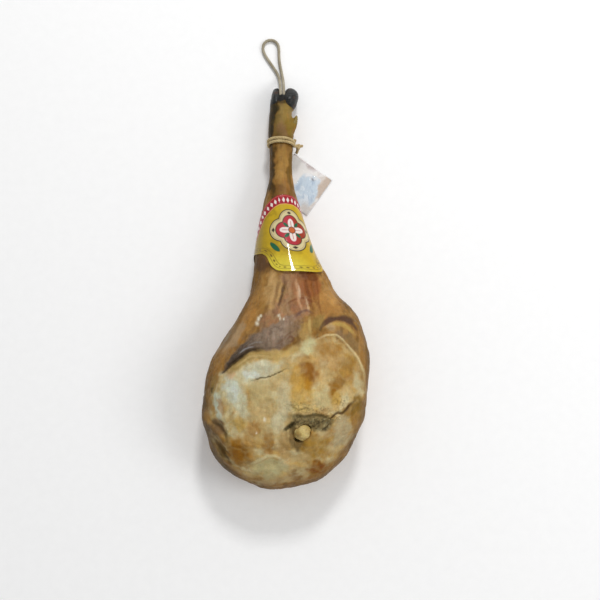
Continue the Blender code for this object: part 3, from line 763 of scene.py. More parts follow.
# Soft patches of colour, each over the last: across, down, reach across, reach down, tilt, colour, strength.
PATCHES = (
    # Skin of the thigh.
    (240, 322, 14, 40, 30, (158, 114, 62), 0.75), (251, 288, 6, 20, 14, (120, 86, 48), 0.6),
    (326, 304, 17, 18, -30, (168, 122, 68), 0.75), (334, 294, 9, 10, 40, (180, 138, 82), 0.6),
    (358, 318, 8, 16, -25, (146, 108, 58), 0.6), (233, 336, 9, 20, 32, (164, 142, 112), 0.65),
    # Meat below the band.
    (311, 288, 12, 14, 0, (134, 80, 46), 0.85), (298, 299, 7, 26, 0, (142, 92, 60), 0.6),
    # Both patches on the next line are painted shadow: under the band, and under its lifted edge.
    (262, 263, 8, 10, -10, (84, 60, 48), 0.85), (309, 276, 11, 5, 8, (92, 50, 32), 0.75),
    (273, 290, 9, 22, 10, (178, 144, 96), 0.85),
    # Shank.
    (281, 194, 13, 9, 0, (112, 78, 44), 0.8), (284, 168, 6, 26, 0, (154, 118, 64), 0.8),
    # The second patch on the next line and the patch on the line after are painted shade down the shank's
    # left and right edges, partly a darker crust on the left.
    (287, 186, 5, 9, 0, (140, 98, 54), 0.6), (272, 168, 4.2, 32, 0, (54, 44, 30), 0.9),
    (292, 168, 2.6, 28, 0, (100, 74, 34), 0.85),
    # Foot.
    # The second patch on the next line and the first patch on the line after are painted shade: down the
    # foot's left edge and under the narrow claw.
    (282, 120, 8, 24, 0, (110, 92, 54), 0.9), (271.5, 118, 3.4, 28, 0, (40, 40, 30), 0.92),
    (273.5, 106, 6, 6, 0, (52, 46, 30), 0.92), (292, 109, 4, 7, -35, (106, 90, 46), 0.9),
    (285, 113, 6.5, 10, 0, (136, 112, 62), 0.9), (283, 129, 6, 7, 0, (128, 94, 68), 0.5),
    (293, 127, 4.5, 15, 0, (122, 100, 46), 0.85),
    # Lard on the left.
    (284, 354, 20, 6, -14, (180, 150, 90), 0.8), (252, 376, 30, 14, -14, (196, 184, 144), 0.8),
    (235, 394, 12, 22, -24, (192, 184, 148), 0.8), (257, 372, 21, 10, -14, (194, 190, 162), 0.95),
    (233, 392, 8.5, 18, -24, (190, 196, 178), 0.95), (241, 406, 9, 15, -22, (192, 188, 156), 0.8),
    (249, 376, 8, 5, -10, (204, 210, 198), 0.8), (232, 391, 3.5, 10, -24, (202, 210, 200), 0.75),
    (218.5, 405, 4.6, 17, -4, (192, 202, 182), 0.95), (230, 376, 6, 5, 30, (196, 156, 118), 0.7),
    # Middle of the face.
    (283, 402, 8, 23, 12, (194, 182, 144), 0.85), (280, 422, 8, 13, 20, (194, 184, 148), 0.85),
    (262, 393, 13, 13, 0, (190, 172, 122), 0.7), (262, 412, 13, 11, 0, (190, 166, 116), 0.65),
    # The lobe.
    (309, 346, 7, 11, 38, (186, 180, 136), 0.85), (332, 350, 16, 10, 20, (156, 112, 50), 0.85),
    (330, 363, 18, 8, 20, (184, 148, 98), 0.6), (348, 369, 13, 16, 20, (148, 110, 48), 0.85),
    (318, 376, 10, 9, 0, (190, 162, 112), 0.6),
    # The lobe's stains and the gold round them.
    (308, 372, 14, 19, 8, (176, 134, 70), 0.7), (307, 371, 10.5, 15, 8, (132, 86, 36), 0.95),
    (304, 386, 8, 8, 0, (172, 122, 40), 0.85), (338, 384, 13, 10, -25, (170, 130, 66), 0.6),
    (337, 385, 9, 7, -25, (130, 84, 0), 0.96), (349, 379, 6, 4, -10, (160, 118, 62), 0.7),
    (297, 380, 8, 12, 0, (188, 148, 74), 0.8), (303, 396, 14, 9, 0, (194, 158, 84), 0.75),
    # Above the hollow, and the right rim.
    (302, 407, 14, 6, 5, (192, 168, 104), 0.8), (321, 400, 12, 9, 0, (190, 176, 128), 0.75),
    (338, 398, 8, 7, -20, (184, 146, 70), 0.75), (358, 387, 5, 18, -6, (180, 168, 130), 0.75),
    # Left rim and its folds.
    (214, 386, 4, 9, 0, (148, 124, 70), 0.6), (213, 388, 2, 3.5, 0, (66, 60, 36), 0.8),
    (221, 408, 3.5, 12, -10, (160, 118, 72), 0.7), (216, 428, 7, 10, -32, (108, 84, 62), 0.85),
    (228, 438, 4.5, 8, -15, (112, 94, 58), 0.8), (220, 443, 6, 12, -25, (142, 104, 50), 0.8),
    (222, 452, 3, 9, -30, (80, 62, 36), 0.7),
    # Low on the left, and the butt.
    (239, 425, 8, 6, 0, (180, 148, 78), 0.75), (254, 428, 6, 8, 0, (158, 114, 58), 0.75),
    (246, 440, 11, 8, 0, (182, 150, 98), 0.6), (242, 452, 16, 17, -20, (160, 118, 56), 0.75),
    (240, 453, 12, 13, -20, (136, 90, 22), 0.97), (245, 465, 8, 4, 20, (140, 104, 52), 0.7),
    (269, 442, 6, 13, 8, (150, 108, 52), 0.85), (284, 446, 8, 14, 0, (176, 144, 94), 0.6),
    (256, 461, 9, 3.5, -12, (150, 130, 92), 0.6), (270, 468, 17, 10, -8, (182, 172, 126), 0.85),
    # Low on the right.
    (316, 448, 16, 12, 0, (154, 116, 46), 0.85), (341, 432, 9, 20, 18, (174, 158, 122), 0.85),
    (322, 433, 8, 4, 0, (178, 160, 118), 0.7), (318, 466, 17, 10, -20, (156, 118, 60), 0.6),
    (320, 467, 11, 7, -20, (122, 72, 0), 0.97), (297, 476, 9, 5, 0, (128, 90, 46), 0.8),
    # Beyond the crack, and round the slit.
    (356, 420, 5, 16, 14, (146, 108, 54), 0.8), (358, 405, 6, 13, 0, (122, 92, 36), 0.9),
    (346, 412, 9, 6, -30, (134, 98, 36), 0.85), (343, 334, 9, 5, 20, (130, 106, 78), 0.85),
    (330, 327, 6, 5, 0, (172, 146, 108), 0.8), (320, 322, 5, 10, 20, (140, 116, 66), 0.75),
    (307, 332, 7, 14, 25, (168, 136, 80), 0.8), (354, 342, 5, 12, -30, (128, 104, 70), 0.75),
)
# Painted lines: points, half width, softness, colour, strength. Some are raised or, below zero, sunk as well:
# then the relief's half width in pixels and its height in metres follow.
LINES = (
    # Lips of the lard and the lobe, stripes on the skin, the muscle's undercut.
    ([(222, 377), (232, 370), (240, 364), (248, 357), (256, 353.5), (266, 354.5), (276, 357), (286, 360)],
     2.6, 2.6, (160, 134, 82), 0.85, 2.6, 0.0024),
    # A painted highlight along the lard lip's edge.
    ([(236, 368), (243, 362), (250, 357), (258, 355.5), (268, 357), (277, 359)],
     0.6, 1.2, (206, 180, 124), 0.45),
    ([(250, 300), (243, 313), (235, 327), (226, 342), (218, 357)], 0.8, 2.2, (98, 72, 42), 0.5),
    # A painted highlight in a pale stripe down the skin.
    ([(244, 304), (237, 317), (229, 331), (221, 346), (215, 358)], 0.8, 2.0, (178, 160, 134), 0.55),
    # Painted shade in the undercut below the muscle.
    ([(220, 374), (230, 367), (238, 360), (247, 352.5), (256, 350), (266, 350)],
     0.8, 1.4, (70, 58, 46), 0.8, 1.8, -0.0034),
    ([(314, 342), (322, 337), (328, 335), (336, 336), (345, 343), (353, 351), (359, 361), (363, 371),
      (363, 386)],
     0.5, 1.2, (212, 194, 146), 0.6, 1.4, 0.0018),
    # The slit, its tails and the yellow under it.
    # The slit's dark line and its two tails are painted shade in the slit.
    ([(321, 330), (324, 324), (330, 319.5), (338, 318), (346, 319), (352, 323), (357, 330)],
     2.1, 2.0, (84, 60, 50), 0.95, 2.8, -0.0044),
    ([(348, 319.5), (352, 322), (355, 326), (357, 331)], 0.8, 1.2, (84, 62, 50), 0.85),
    ([(325, 320), (323, 323), (321.5, 328), (321, 333)], 0.5, 1.2, (96, 76, 50), 0.8),
    ([(330, 324), (341, 325), (349, 329), (355, 335)], 1.3, 1.6, (180, 150, 84), 0.75),
    # Cracks, the shade at the bone, the hollow's rim and the crumbs above it.
    # The dark lines in the three cracks are painted shade in the sunk cracks.
    ([(250, 381), (257, 379.5), (261, 377.8), (267, 377.5), (273, 375), (280, 372), (287, 369)],
     0.3, 0.8, (84, 70, 42), 0.9, 0.9, -0.002),
    ([(326, 421), (331, 418), (335, 414), (339, 412.5), (343, 413), (347, 409), (350, 405), (357, 399)],
     0.7, 1.3, (70, 48, 28), 0.9, 1.5, -0.003),
    ([(283, 432), (288, 427), (293, 422)], 1.0, 1.4, (66, 60, 42), 0.9, 1.9, -0.004),
    ([(292, 423), (293.5, 430), (293.5, 437)], 0.9, 1.6, (78, 66, 44), 0.7),
    # The dark line along the hollow's rim is painted shade under the raised rim.
    ([(290, 415), (297, 414.5), (306, 415.5), (316, 414.5), (326, 416), (334, 414)],
     0.6, 1.4, (80, 70, 46), 0.8),
    ([(290, 405), (298, 409), (306, 407), (312, 411)], 0.4, 1.2, (110, 92, 52), 0.7),
    # Folds on the left, the ridge at the butt.
    # The dark lines of the three folds are painted shade in the sunk folds.
    ([(208, 418), (215, 423), (221, 429), (228, 441)], 0.5, 1.8, (76, 58, 40), 0.75, 2.4, -0.0026),
    ([(212, 436), (219, 446), (226, 457), (232, 464)], 0.6, 1.5, (78, 58, 34), 0.75, 2.0, -0.0016),
    ([(218, 440), (224, 449), (229, 455)], 0.4, 1.2, (90, 70, 42), 0.65, 1.5, -0.0018),
    ([(248, 466), (256, 462), (263, 458.5), (270, 456.5), (278, 457), (286, 463)],
     0.7, 1.3, (206, 192, 146), 0.7, 2.2, 0.0018),
    # Creases, strands and fibres of the meat.
    # The crease's dark line is painted shade in the sunk crease.
    ([(284, 282), (282, 290), (279.5, 299), (277, 306)], 0.7, 1.4, (70, 48, 42), 0.8, 1.9, -0.0028),
    ([(284, 306), (290, 301), (300, 298), (310, 300), (319, 304)], 0.4, 1.2, (108, 58, 40), 0.6),
    ([(298, 283), (299.5, 291), (299, 300)], 0.5, 1.0, (208, 180, 150), 0.65),
    ([(305, 297), (307.5, 305), (309, 313)], 0.5, 1.0, (204, 172, 136), 0.6),
    ([(316, 274), (318, 290), (319, 305), (322, 318)], 0.4, 1.2, (104, 58, 36), 0.55),
    ([(294, 317), (300, 312), (307, 310), (313, 314)], 0.6, 1.3, (92, 64, 60), 0.7),
    ([(295, 276), (297, 288), (298, 300), (303, 312)], 0.6, 1.4, (186, 146, 112), 0.7),
    ([(304, 276), (307, 288), (310, 300), (313, 313)], 0.8, 1.6, (112, 66, 42), 0.65, 1.6, -0.0016),
    ([(311, 278), (314, 292), (317, 306)], 0.7, 1.5, (116, 72, 40), 0.6, 1.6, -0.0014),
    ([(279, 280), (276, 292), (272, 306)], 0.7, 1.6, (112, 80, 56), 0.5, 1.6, -0.0012),
    ([(270, 298), (264, 314), (252, 330), (240, 342)], 0.5, 1.8, (100, 72, 50), 0.45),
    # Ring and membrane in the muscle.
    ([(287, 339), (288.5, 336.5), (291.5, 336.5), (293, 339), (291, 341.5), (288, 341)],
     0.4, 1.0, (104, 70, 56), 0.7),
    ([(274, 344), (281, 341), (288, 333), (296, 328)], 0.4, 1.2, (112, 84, 66), 0.6),
    # The foot's dark edge, painted shade down its left side, and the painted shade under the horn.
    ([(273, 99), (272.6, 107), (271.6, 118), (271, 130), (270.5, 141)], 2.0, 2.2, (50, 45, 32), 0.85),
    ([(270, 101), (276, 102), (281, 101.2), (287, 101), (291, 104), (295, 108), (299, 112)],
     1.2, 1.6, (46, 38, 26), 0.7),
    # Painted highlights on the muscle, the golden fall from the meat.
    ([(238, 353), (246, 348), (254, 346)], 0.3, 0.9, (150, 146, 146), 0.8),
    ([(247, 346), (254, 342), (262, 341)], 0.3, 0.9, (140, 134, 130), 0.5),
    ([(309, 316), (310, 326), (311, 336)], 0.8, 1.5, (190, 160, 100), 0.6),
)
# Pale flecks: across, down, reach across, reach down.
FLECKS = (
    (257, 323.5, 1.8, 2.6), (259, 319, 1.5, 2.2), (261, 316, 1.2, 1.4), (279.5, 316, 1.7, 1.5),
    (280.5, 318.5, 1.0, 1.4), (284, 319, 0.8, 0.9), (265.5, 420, 1.1, 2.4), (257, 433, 0.9, 1.0),
)
# Lines with relief and no paint: the shelf beside the lobe's lip, the skin above the slit, the hollow's rim.
RELIEF_ONLY = (
    ([(318, 337), (328, 332), (338, 332), (348, 340), (357, 351)], 2.4, -0.0022),
    ([(320, 322), (330, 314), (340, 312.5), (350, 315), (359, 324)], 2.6, 0.0016),
    ([(290, 407), (300, 409), (314, 409), (330, 409)], 2.2, 0.0018),
)
FLESH = (180, 154, 104)
FLESH_PALE = (198, 186, 144)
FLESH_BROWN = (150, 110, 58)
FLESH_GOLD = (186, 150, 82)
RIND = (142, 104, 56)
RIND_DARK = (92, 66, 38)
RIND_GOLD = (170, 132, 78)
MUSCLE = (136, 118, 102)
MUSCLE_DARK = (64, 56, 52)
MUSCLE_PALE = (152, 124, 106)
MUSCLE_STAIN = (96, 78, 70)
MEAT_BROWN = (150, 118, 88)
MEAT_PINK = (158, 112, 80)
MEAT_DARK = (104, 74, 62)
# The hollow over the bone and the pocket beside it are painted darker than the face: partly their own grey
# and brown, partly painted shade in these recesses.
HOLLOW_GREY = (118, 104, 72)
POCKET_BROWN = (116, 94, 60)
GRAIN_DARK = (74, 64, 46)
GRAIN_PALE = (158, 146, 108)
SALT = (222, 214, 190)
SPRINKLE = (96, 68, 36)
# Painted shade on the sides that turn away from straight up, and down the shank's left side.
EDGE_SHADE_BROWN = (74, 58, 34)
# The light that the gloss adds, taken off the painted colours.
GLOSS = (0.009, 0.010, 0.014)
HORN = (24, 23, 20)
# Crumbly places: across, down, reach across, reach down, tilt.
CRUMBLY = ((302, 407, 16, 7, 5), (343, 402, 10, 7, -20), (316, 411, 20, 5, 0), (338, 417, 8, 4, -20))


def blob(flat, across, down, reach_across, reach_down, tilt=0.0):
    """1 in the middle of a tilted oval, falling softly to 0 outside it."""
    turn = math.radians(tilt)
    away = flat - np.array((across, down))
    first = away[:, 0] * math.cos(turn) + away[:, 1] * math.sin(turn)
    second = -away[:, 0] * math.sin(turn) + away[:, 1] * math.cos(turn)
    return np.exp(-(((first / reach_across) ** 2 + (second / reach_down) ** 2) ** 1.4))


def wandering(points, flat, far, size, seed):
    """The same places with a little noise, so that edges don't look drawn."""
    shift = np.stack([layered(points, size, seed), layered(points, size, seed + 50)], axis=1)
    return flat + far * shift


def line_places(points, flat):
    """The places that painted and raised lines share. They waver more over long stretches than short ones."""
    return wandering(points, wandering(points, flat, 1.4, 0.030, 47), 0.5, 0.0060, 48)


def streaks(points, seed):
    """Noise drawn out along the leg."""
    return layered(points, (0.0045, 0.0500, 0.0045), seed)


def horn_share(points, flat):
    """1 where the foot is horn and 0 where it is skin."""
    across, down = zip(*HORN_EDGE)
    seen = smooth_step(0.5 + (np.interp(flat[:, 0], across, down) - flat[:, 1]) / 1.6)
    low = smooth_step((HORN_LOW_TOP - points[:, 2]) / 0.004)
    low *= smooth_step((points[:, 1] - HORN_LOW_START) / 0.002)
    return np.maximum(seen, low)


def ham_relief(points, flat, up):
    """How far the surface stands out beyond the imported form."""
    near = wandering(points, flat, 2.0, 0.011, 3)
    height = np.zeros(len(points))
    drawn = line_places(points, flat)
    raised = [(line, *relief) for line, _, _, _, _, *relief in LINES if relief]
    for line, half_width, rise in (*raised, *RELIEF_ONLY):
        height += rise * stroke(drawn, points, line, 0.35 * half_width, 1.5 * half_width)
    height -= within(near, HOLLOW, 3.0) * (0.0028 + 0.0020 * np.abs(noise(points, 0.0050, 11)))
    height -= within(near, POCKET, 3.0) * 0.0042
    face = within(flat, FACE, 6.0)
    height += face * (0.0019 * layered(points, 0.024, 15) + 0.0010 * noise(points, 0.0085, 19))
    height -= face * 0.0008 * veins(points, 0.017, 21, 0.12)
    crumbly = np.max([blob(near, *place) for place in CRUMBLY], axis=0)
    height += crumbly * 0.0013 * noise(points, 0.0050, 25)
    muscle = within(near, BARE_MUSCLE, 3.0)
    meat = np.maximum(muscle, within(near, MEAT, 7.0))
    height -= 0.0012 * muscle
    height += meat * 0.0012 * layered(points, (0.0045, 0.022, 0.0045), 23)
    height *= up
    leg = smooth_step((points[:, 1] + 0.12) / 0.10)
    height += leg * 0.0012 * streaks(points, 27)
    rind = 1 - np.maximum(face, leg) * up
    height += rind * (0.0016 * layered(points, 0.034, 33) + 0.0006 * noise(points, 0.009, 35))
    height -= rind * 0.0007 * veins(points, (0.016, 0.030, 0.016), 37, 0.10)
    return height - HORN_SUNK * horn_share(points, flat)


def ham_colours(points, flat, up, level):
    near = wandering(points, wandering(points, flat, 4.6, 0.024, 41), 2.4, 0.0085, 43)
    close = wandering(points, flat, 1.3, 0.0095, 45)
    face = within(near, FACE, 7.0) * up
    meat = broken(within(near, MEAT, 9.0), points, 69) * up
    colours = layers(
        np.tile(linear(RIND), (len(points), 1)),
        (RIND_DARK, cloud(points, 0.050, 51, -0.05, 0.45) * 0.6),
        (RIND_GOLD, cloud(points, 0.034, 55, 0.02, 0.34) * 0.6),
        (RIND_DARK, smooth_step(streaks(points, 57) * 2.0) * 0.45),
        (RIND_GOLD, smooth_step(streaks(points, 58) * 2.0 - 0.3) * 0.35),
        (FLESH, face),
        (FLESH_PALE, face * cloud(points, 0.026, 61, 0.02, 0.26) * 0.75),
        (FLESH_BROWN, face * cloud(points, 0.030, 65, 0.05, 0.30) * 0.6),
        (FLESH_GOLD, face * cloud(points, 0.015, 68, 0.06, 0.30) * 0.55),
        (MEAT_BROWN, meat * 0.8),
        (MEAT_PINK, meat * cloud(points, 0.010, 70, 0.0, 0.25) * 0.6),
        (MEAT_DARK, meat * smooth_step(streaks(points, 72) * 2.2) * 0.5),
    )
    for number, (*place, colour, strength) in enumerate(PATCHES):
        share = broken(blob(near, *place), points, 200 + 5 * number)
        colours = mixed(colours, colour, share * strength * up)
    muscle = broken(within(close, BARE_MUSCLE, 7.5), points, 73, 0.007, 0.42) * up
    fade = smooth_step((306 - flat[:, 0]) / 30)
    dark_end = smooth_step((272 - flat[:, 0]) / 34)
    fibres = smooth_step(layered(points, (0.005, 0.016, 0.005), 71) * 1.9)
    pocket = within(close, POCKET, 2.2) * up
    hollow = within(close, HOLLOW, 3.0) * up
    grained = np.maximum(hollow, pocket * 0.15)
    colours = layers(
        colours,
        (FLESH_PALE, face * veins(points, 0.020, 74, 0.30) * 0.16),
        (FLESH_BROWN, face * veins(points, 0.016, 78, 0.22) * 0.20),
        (MUSCLE, muscle * (0.15 + 0.80 * fade)),
        (MUSCLE_DARK, muscle * dark_end * 0.85),
        (MUSCLE_PALE, muscle * fibres * (1 - dark_end) * 0.55),
        (MUSCLE_STAIN, muscle * cloud(points, 0.008, 76, 0.05, 0.3) * 0.45),
        # Partly painted shade in the pocket and the hollow, over their own brown and grey.
        (POCKET_BROWN, pocket * 0.9),
        (HOLLOW_GREY, hollow * 0.9),
        (GRAIN_DARK, grained * smooth_step(noise(points, 0.0042, 75) * 2.2) * 0.70),
        (GRAIN_PALE, grained * smooth_step(noise(points, 0.0046, 77) * 2.4 - 0.5) * 0.7),
    )
    drawn = line_places(points, flat)
    for line, half_width, softness, colour, strength, *_ in LINES:
        colours = mixed(colours, colour, stroke(drawn, points, line, half_width, softness) * strength * up)
    for fleck in FLECKS:
        colours = mixed(colours, SALT, blob(close, *fleck) * 0.9 * up)
    thigh = smooth_step((0.02 - points[:, 1]) / 0.08)
    # Painted shade: the sides darken the more they turn away from straight up, most of all low on the left of
    # the face.
    left = smooth_step((250 - flat[:, 0]) / 25) * smooth_step((flat[:, 1] - 375) / 35)
    rim = smooth_step((0.74 + 0.14 * left - level) / 0.50) * smooth_step((level + 0.30) / 0.45)
    rim *= 0.60 + 0.40 * cloud(points, 0.020, 79, -0.4, 0.4)
    colours = mixed(colours, EDGE_SHADE_BROWN, rim * thigh * (0.65 + 0.25 * left))
    # Painted shade down the shank's left side, with some darker crust there.
    side = smooth_step((0.88 - level) / 0.50) * smooth_step((level + 0.80) / 1.10)
    colours = mixed(colours, EDGE_SHADE_BROWN, side * (1 - thigh) * smooth_step((276 - flat[:, 0]) / 6) * 0.5)
    sprinkled = smooth_step(noise(points, 0.0034, 81) * 2.0 - 0.7)
    colours = mixed(colours, SPRINKLE, sprinkled * (0.22 - 0.14 * face))
    colours *= (1 + 0.15 * layered(points, 0.012, 83))[:, None]
    return mixed(np.maximum(colours - GLOSS, 0.004), HORN, horn_share(points, flat))


def ham_roughness(points, flat, up):
    rough = 0.52 + 0.10 * layered(points, 0.015, 91)
    rough += 0.14 * np.maximum(within(flat, HOLLOW, 3.0), within(flat, POCKET, 3.0)) * up
    rough -= 0.12 * within(flat, BARE_MUSCLE, 3.0) * up
    return np.clip(rough, 0.25, 0.9)


def ham_grains(points, flat, up):
    """Where the surface is crumbly and speckled."""
    hollow = within(flat, HOLLOW, 4.0)
    crumbly = np.max([blob(flat, *place) for place in CRUMBLY], axis=0)
    return 0.05 + 0.95 * np.maximum(hollow, crumbly) * up


def smoothed(points, edges, rounds, share):
    """Draws each point towards its neighbours, by its own share each round."""
    count = np.bincount(edges.ravel(), minlength=len(points))
    for _ in range(rounds):
        total = np.zeros_like(points)
        for axis in range(3):
            total[:, axis] += np.bincount(edges[:, 0], points[edges[:, 1], axis], len(points))
            total[:, axis] += np.bincount(edges[:, 1], points[edges[:, 0], axis], len(points))
        points = points + share[:, None] * (total / count[:, None] - points)
    return points


def fine_copy(node, voxel, name):
    piece = link(bpy.data.objects.new(name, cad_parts[node].data.copy()))
    remesh = piece.modifiers.new("Fine", "REMESH")
    remesh.mode = "VOXEL"
    remesh.voxel_size = voxel
    graph = bpy.context.evaluated_depsgraph_get()
    graph.update()
    mesh = bpy.data.meshes.new_from_object(piece.evaluated_get(graph))
    piece.modifiers.clear()
    piece.data = mesh
    mesh.name = name
    return piece


def make_ham():
    ham = fine_copy("ham", HAM_VOXEL, "ham_meat_and_rind")
    mesh = ham.data
    points = mesh_values(mesh, "co")
    edges = np.empty(len(mesh.edges) * 2, np.int32)
    mesh.edges.foreach_get("vertices", edges)
    thick = smooth_step((0.27 - points[:, 1]) / 0.06)
    points = smoothed(points, edges.reshape(-1, 2), HAM_SMOOTH_ROUNDS, 0.08 + 0.47 * thick)
    points[points[:, 2] < FLAT_BELOW, 2] = 0.0
    set_points(mesh, points)
    normals = mesh_values(mesh, "normal")
    flat = photo_pixels(points)
    up = smooth_step((normals[:, 2] + 0.02) / 0.30)
    height = ham_relief(points, flat, up) * smooth_step(points[:, 2] / 0.006)
    height *= smooth_step((0.31 - points[:, 1]) / 0.05) * 0.75 + 0.25
    box_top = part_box("ham")[1][2]
    raised = points + normals * height[:, None]
    raised[:, 2] = np.clip(raised[:, 2], 0.0, box_top)
    set_points(mesh, raised)
    paint(mesh, "painted", ham_colours(points, flat, up, normals[:, 2]))
    keep_number(mesh, "rough", ham_roughness(points, flat, up))
    keep_number(mesh, "grainy", ham_grains(points, flat, up))
    mesh.shade_smooth()
    dressed(ham, ["ham"], meat_look())


# The paper band's print: arc length across from the band's middle, place along the leg, in metres.
FRAME_ACROSS = 0.0050
FRAME_PLACE = 0.0862
# Frame and field each have four round lobes: how far out their middles lie, and their radius.
FRAME_SHIFT = 0.0170
FRAME_LOBE = 0.0210
FIELD_SHIFT = 0.0130
FIELD_LOBE = 0.0145
BORDER_WIDTH = 0.0175
LOZENGE_STEP = 0.0115
TRIM_LINES = (0.0042, 0.0104)
TRIM_STEP = 0.0090
MEAN_RADIUS = 0.0430
YELLOW = (188, 156, 14)
OLIVE = (142, 116, 6)
RED = (152, 12, 34)
CREAM = (204, 190, 142)
INK = (52, 38, 30)
BAR = (96, 76, 26)
GREEN = (20, 92, 60)
PALE = (226, 214, 206)
AMBER = (180, 140, 0)
LEMON = (216, 200, 62)
BORDER_GOLD = (214, 160, 90)
BORDER_PINK = (206, 110, 96)
FRAME_LINE = (150, 120, 66)
FIELD_RED = (176, 44, 56)
FIELD_BROWN = (150, 50, 24)
PETAL_LINE = (176, 40, 50)
FLOWER_HEART = (190, 92, 44)
SIDE_PAPER = (176, 176, 168)
PLAIN_PAPER = (206, 204, 194)


def rounded_edges():
    """The band's two edges at every degree from its middle, with their corners rounded."""
    away = np.arange(0.0, 181.0)
    degrees, upper, lower = zip(*BAND_EDGES)
    weights = np.hanning(2 * BAND_ROUNDING + 1)[1:-1]
    rounded = []
    for edge in (upper, lower):
        padded = np.pad(np.interp(away, degrees, edge), BAND_ROUNDING - 1, mode="edge")
        rounded.append(np.convolve(padded, weights / weights.sum(), "valid"))
    return away, rounded[0], rounded[1]


EDGE_DEGREES, EDGE_UPPER, EDGE_LOWER = rounded_edges()


def band_edges(turn):
    """Where the band's upper and lower edge lie, that many degrees to the right of its middle."""
    away = abs(turn) - CORNER_SHIFT * math.sin(math.radians(max(turn, 0.0)))
    return np.interp(away, EDGE_DEGREES, EDGE_UPPER), np.interp(away, EDGE_DEGREES, EDGE_LOWER)


def half_turn(degrees):
    """The same angle between -180 and 180 degrees."""
    return (degrees + 180.0) % 360.0 - 180.0


def band_point(facing, row, depth):
    """A point on the band: degrees to the right of straight up, row from 0 to 1, depth outwards."""
    high, low = band_edges(half_turn(facing - BAND_FACING))
    stand_off = 0.0
    for middle, reach, far in BAND_LIFTS:
        stand_off += far * row * math.exp(-((half_turn(facing - middle) / reach) ** 2))
    place = high + (low - high) * row
    (first_facing, first_place), (last_facing, last_place) = PUCKER
    gone = first_place - place
    if gone > 0:
        middle = first_facing + (last_facing - first_facing) * gone / (first_place - last_place)
        beside = math.radians(facing - middle) * MEAN_RADIUS
        stand_off += PUCKER_SLOPE * gone * math.exp(-((beside / (PUCKER_SPREAD * gone)) ** 2))
    section = leg_section(place, BAND_CLEAR + stand_off + depth)
    return section_points(section, np.array([math.radians(90.0 - facing)]))[0]


def ring_mark(distance, radius, half_width):
    return smooth_step(1.5 - np.abs(distance - radius) / half_width)


def disc(distance, radius, edge=0.0005):
    return smooth_step(0.5 + (radius - distance) / edge)


def lobed(side, away, shift):
    """Distance from the nearest of four places that lie round the middle."""
    places = ((shift, 0.0), (-shift, 0.0), (0.0, shift), (0.0, -shift))
    return np.min([np.hypot(side - x, away - y) for x, y in places], axis=0)


def lozenge(first, second, half_first, half_second):
    return smooth_step((1.0 - np.abs(first) / half_first - np.abs(second) / half_second) * 6)


def beside_edge(flat, which):
    """How far each point lies from the upper or lower edge, and how far along it, in metres."""
    turns = range(-110, 111, 3)
    line = np.array([(math.radians(turn) * MEAN_RADIUS, band_edges(turn)[which]) for turn in turns])
    away, share = along_line(flat, line, 0.03)
    return away, share * path_length(line)


def paper_ground(across, along):
    place = np.stack([across, along, np.zeros_like(across)], axis=1)
    low = smooth_step((0.052 - along) / 0.03) * (across > -0.05) * smooth_step((0.030 - across) / 0.04)
    return layers(
        np.tile(linear(YELLOW), (len(across), 1)),
        (OLIVE, cloud(place, 0.016, 7, -0.05, 0.35) * 0.5),
        (OLIVE, smooth_step((-0.028 - across) / 0.030) * 0.75),
        (AMBER, smooth_step((across - 0.026) / 0.02) * 0.7),
        (LEMON, low * 0.85),
    )


def print_border(colours, flat):
    """A red border along the upper edge with a row of lozenges."""
    away, gone = beside_edge(flat, 0)
    beside = (gone / LOZENGE_STEP % 1.0 - 0.5) * LOZENGE_STEP
    return layers(
        colours,
        (RED, smooth_step((BORDER_WIDTH - away) / 0.0005)),
        (BORDER_GOLD, ring_mark(away, BORDER_WIDTH, 0.0006)),
        (BORDER_PINK, ring_mark(away, 0.0020, 0.0004)),
        (PALE, lozenge(beside, away - 0.55 * BORDER_WIDTH, 0.0040, 0.0056)),
    )


def print_trim(colours, flat):
    """Two thin lines along the lower edge, with a row of small lozenges between them."""
    away, gone = beside_edge(flat, 1)
    for line in TRIM_LINES:
        colours = mixed(colours, BAR, ring_mark(away, line, 0.0004) * 0.75)
    beside = (gone / TRIM_STEP % 1.0 - 0.5) * TRIM_STEP
    return mixed(colours, BAR, lozenge(beside, away - sum(TRIM_LINES) / 2, 0.0032, 0.0017) * 0.85)


def print_flower(colours, side, away):
    """A four-lobed cream frame round a red field, with a flower of four petals and four leaves."""
    distance, bearing = np.hypot(side, away), np.arctan2(away, side)
    frame_edge, field_edge = lobed(side, away, FRAME_SHIFT), lobed(side, away, FIELD_SHIFT)
    quarter = math.pi / 2
    off_axis = ((bearing + quarter / 2) % quarter - quarter / 2) * distance
    off_diagonal = (bearing % quarter - quarter / 2) * distance
    field = disc(field_edge, FIELD_LOBE)
    leaf = 1.0 - (off_diagonal / 0.0030) ** 2 - ((distance - 0.0136) / 0.0056) ** 2
    petals = 0.0138 + 0.0070 * np.cos(bearing * 4)
    petal_line = smooth_step(1.5 - np.abs(off_axis) / 0.0005) * disc(distance, petals - 0.004)
    return layers(
        colours,
        (CREAM, disc(frame_edge, FRAME_LOBE)),
        (INK, ring_mark(frame_edge, FRAME_LOBE, 0.0009)),
        (FRAME_LINE, ring_mark(frame_edge, FRAME_LOBE - 0.0026, 0.0004) * 0.8),
        (INK, lozenge(off_axis, distance - 0.0318, 0.0052, 0.0030)),
        (FIELD_RED, field),
        (FIELD_BROWN, field * smooth_step(side / 0.012)),
        (GREEN, smooth_step(leaf * 4)),
        (INK, ring_mark(field_edge, FIELD_LOBE, 0.0007)),
        (PALE, disc(distance, petals)),
        (PETAL_LINE, petal_line),
        (FLOWER_HEART, disc(distance, 0.0058)),
        (INK, ring_mark(distance, 0.0058, 0.0006)),
    )


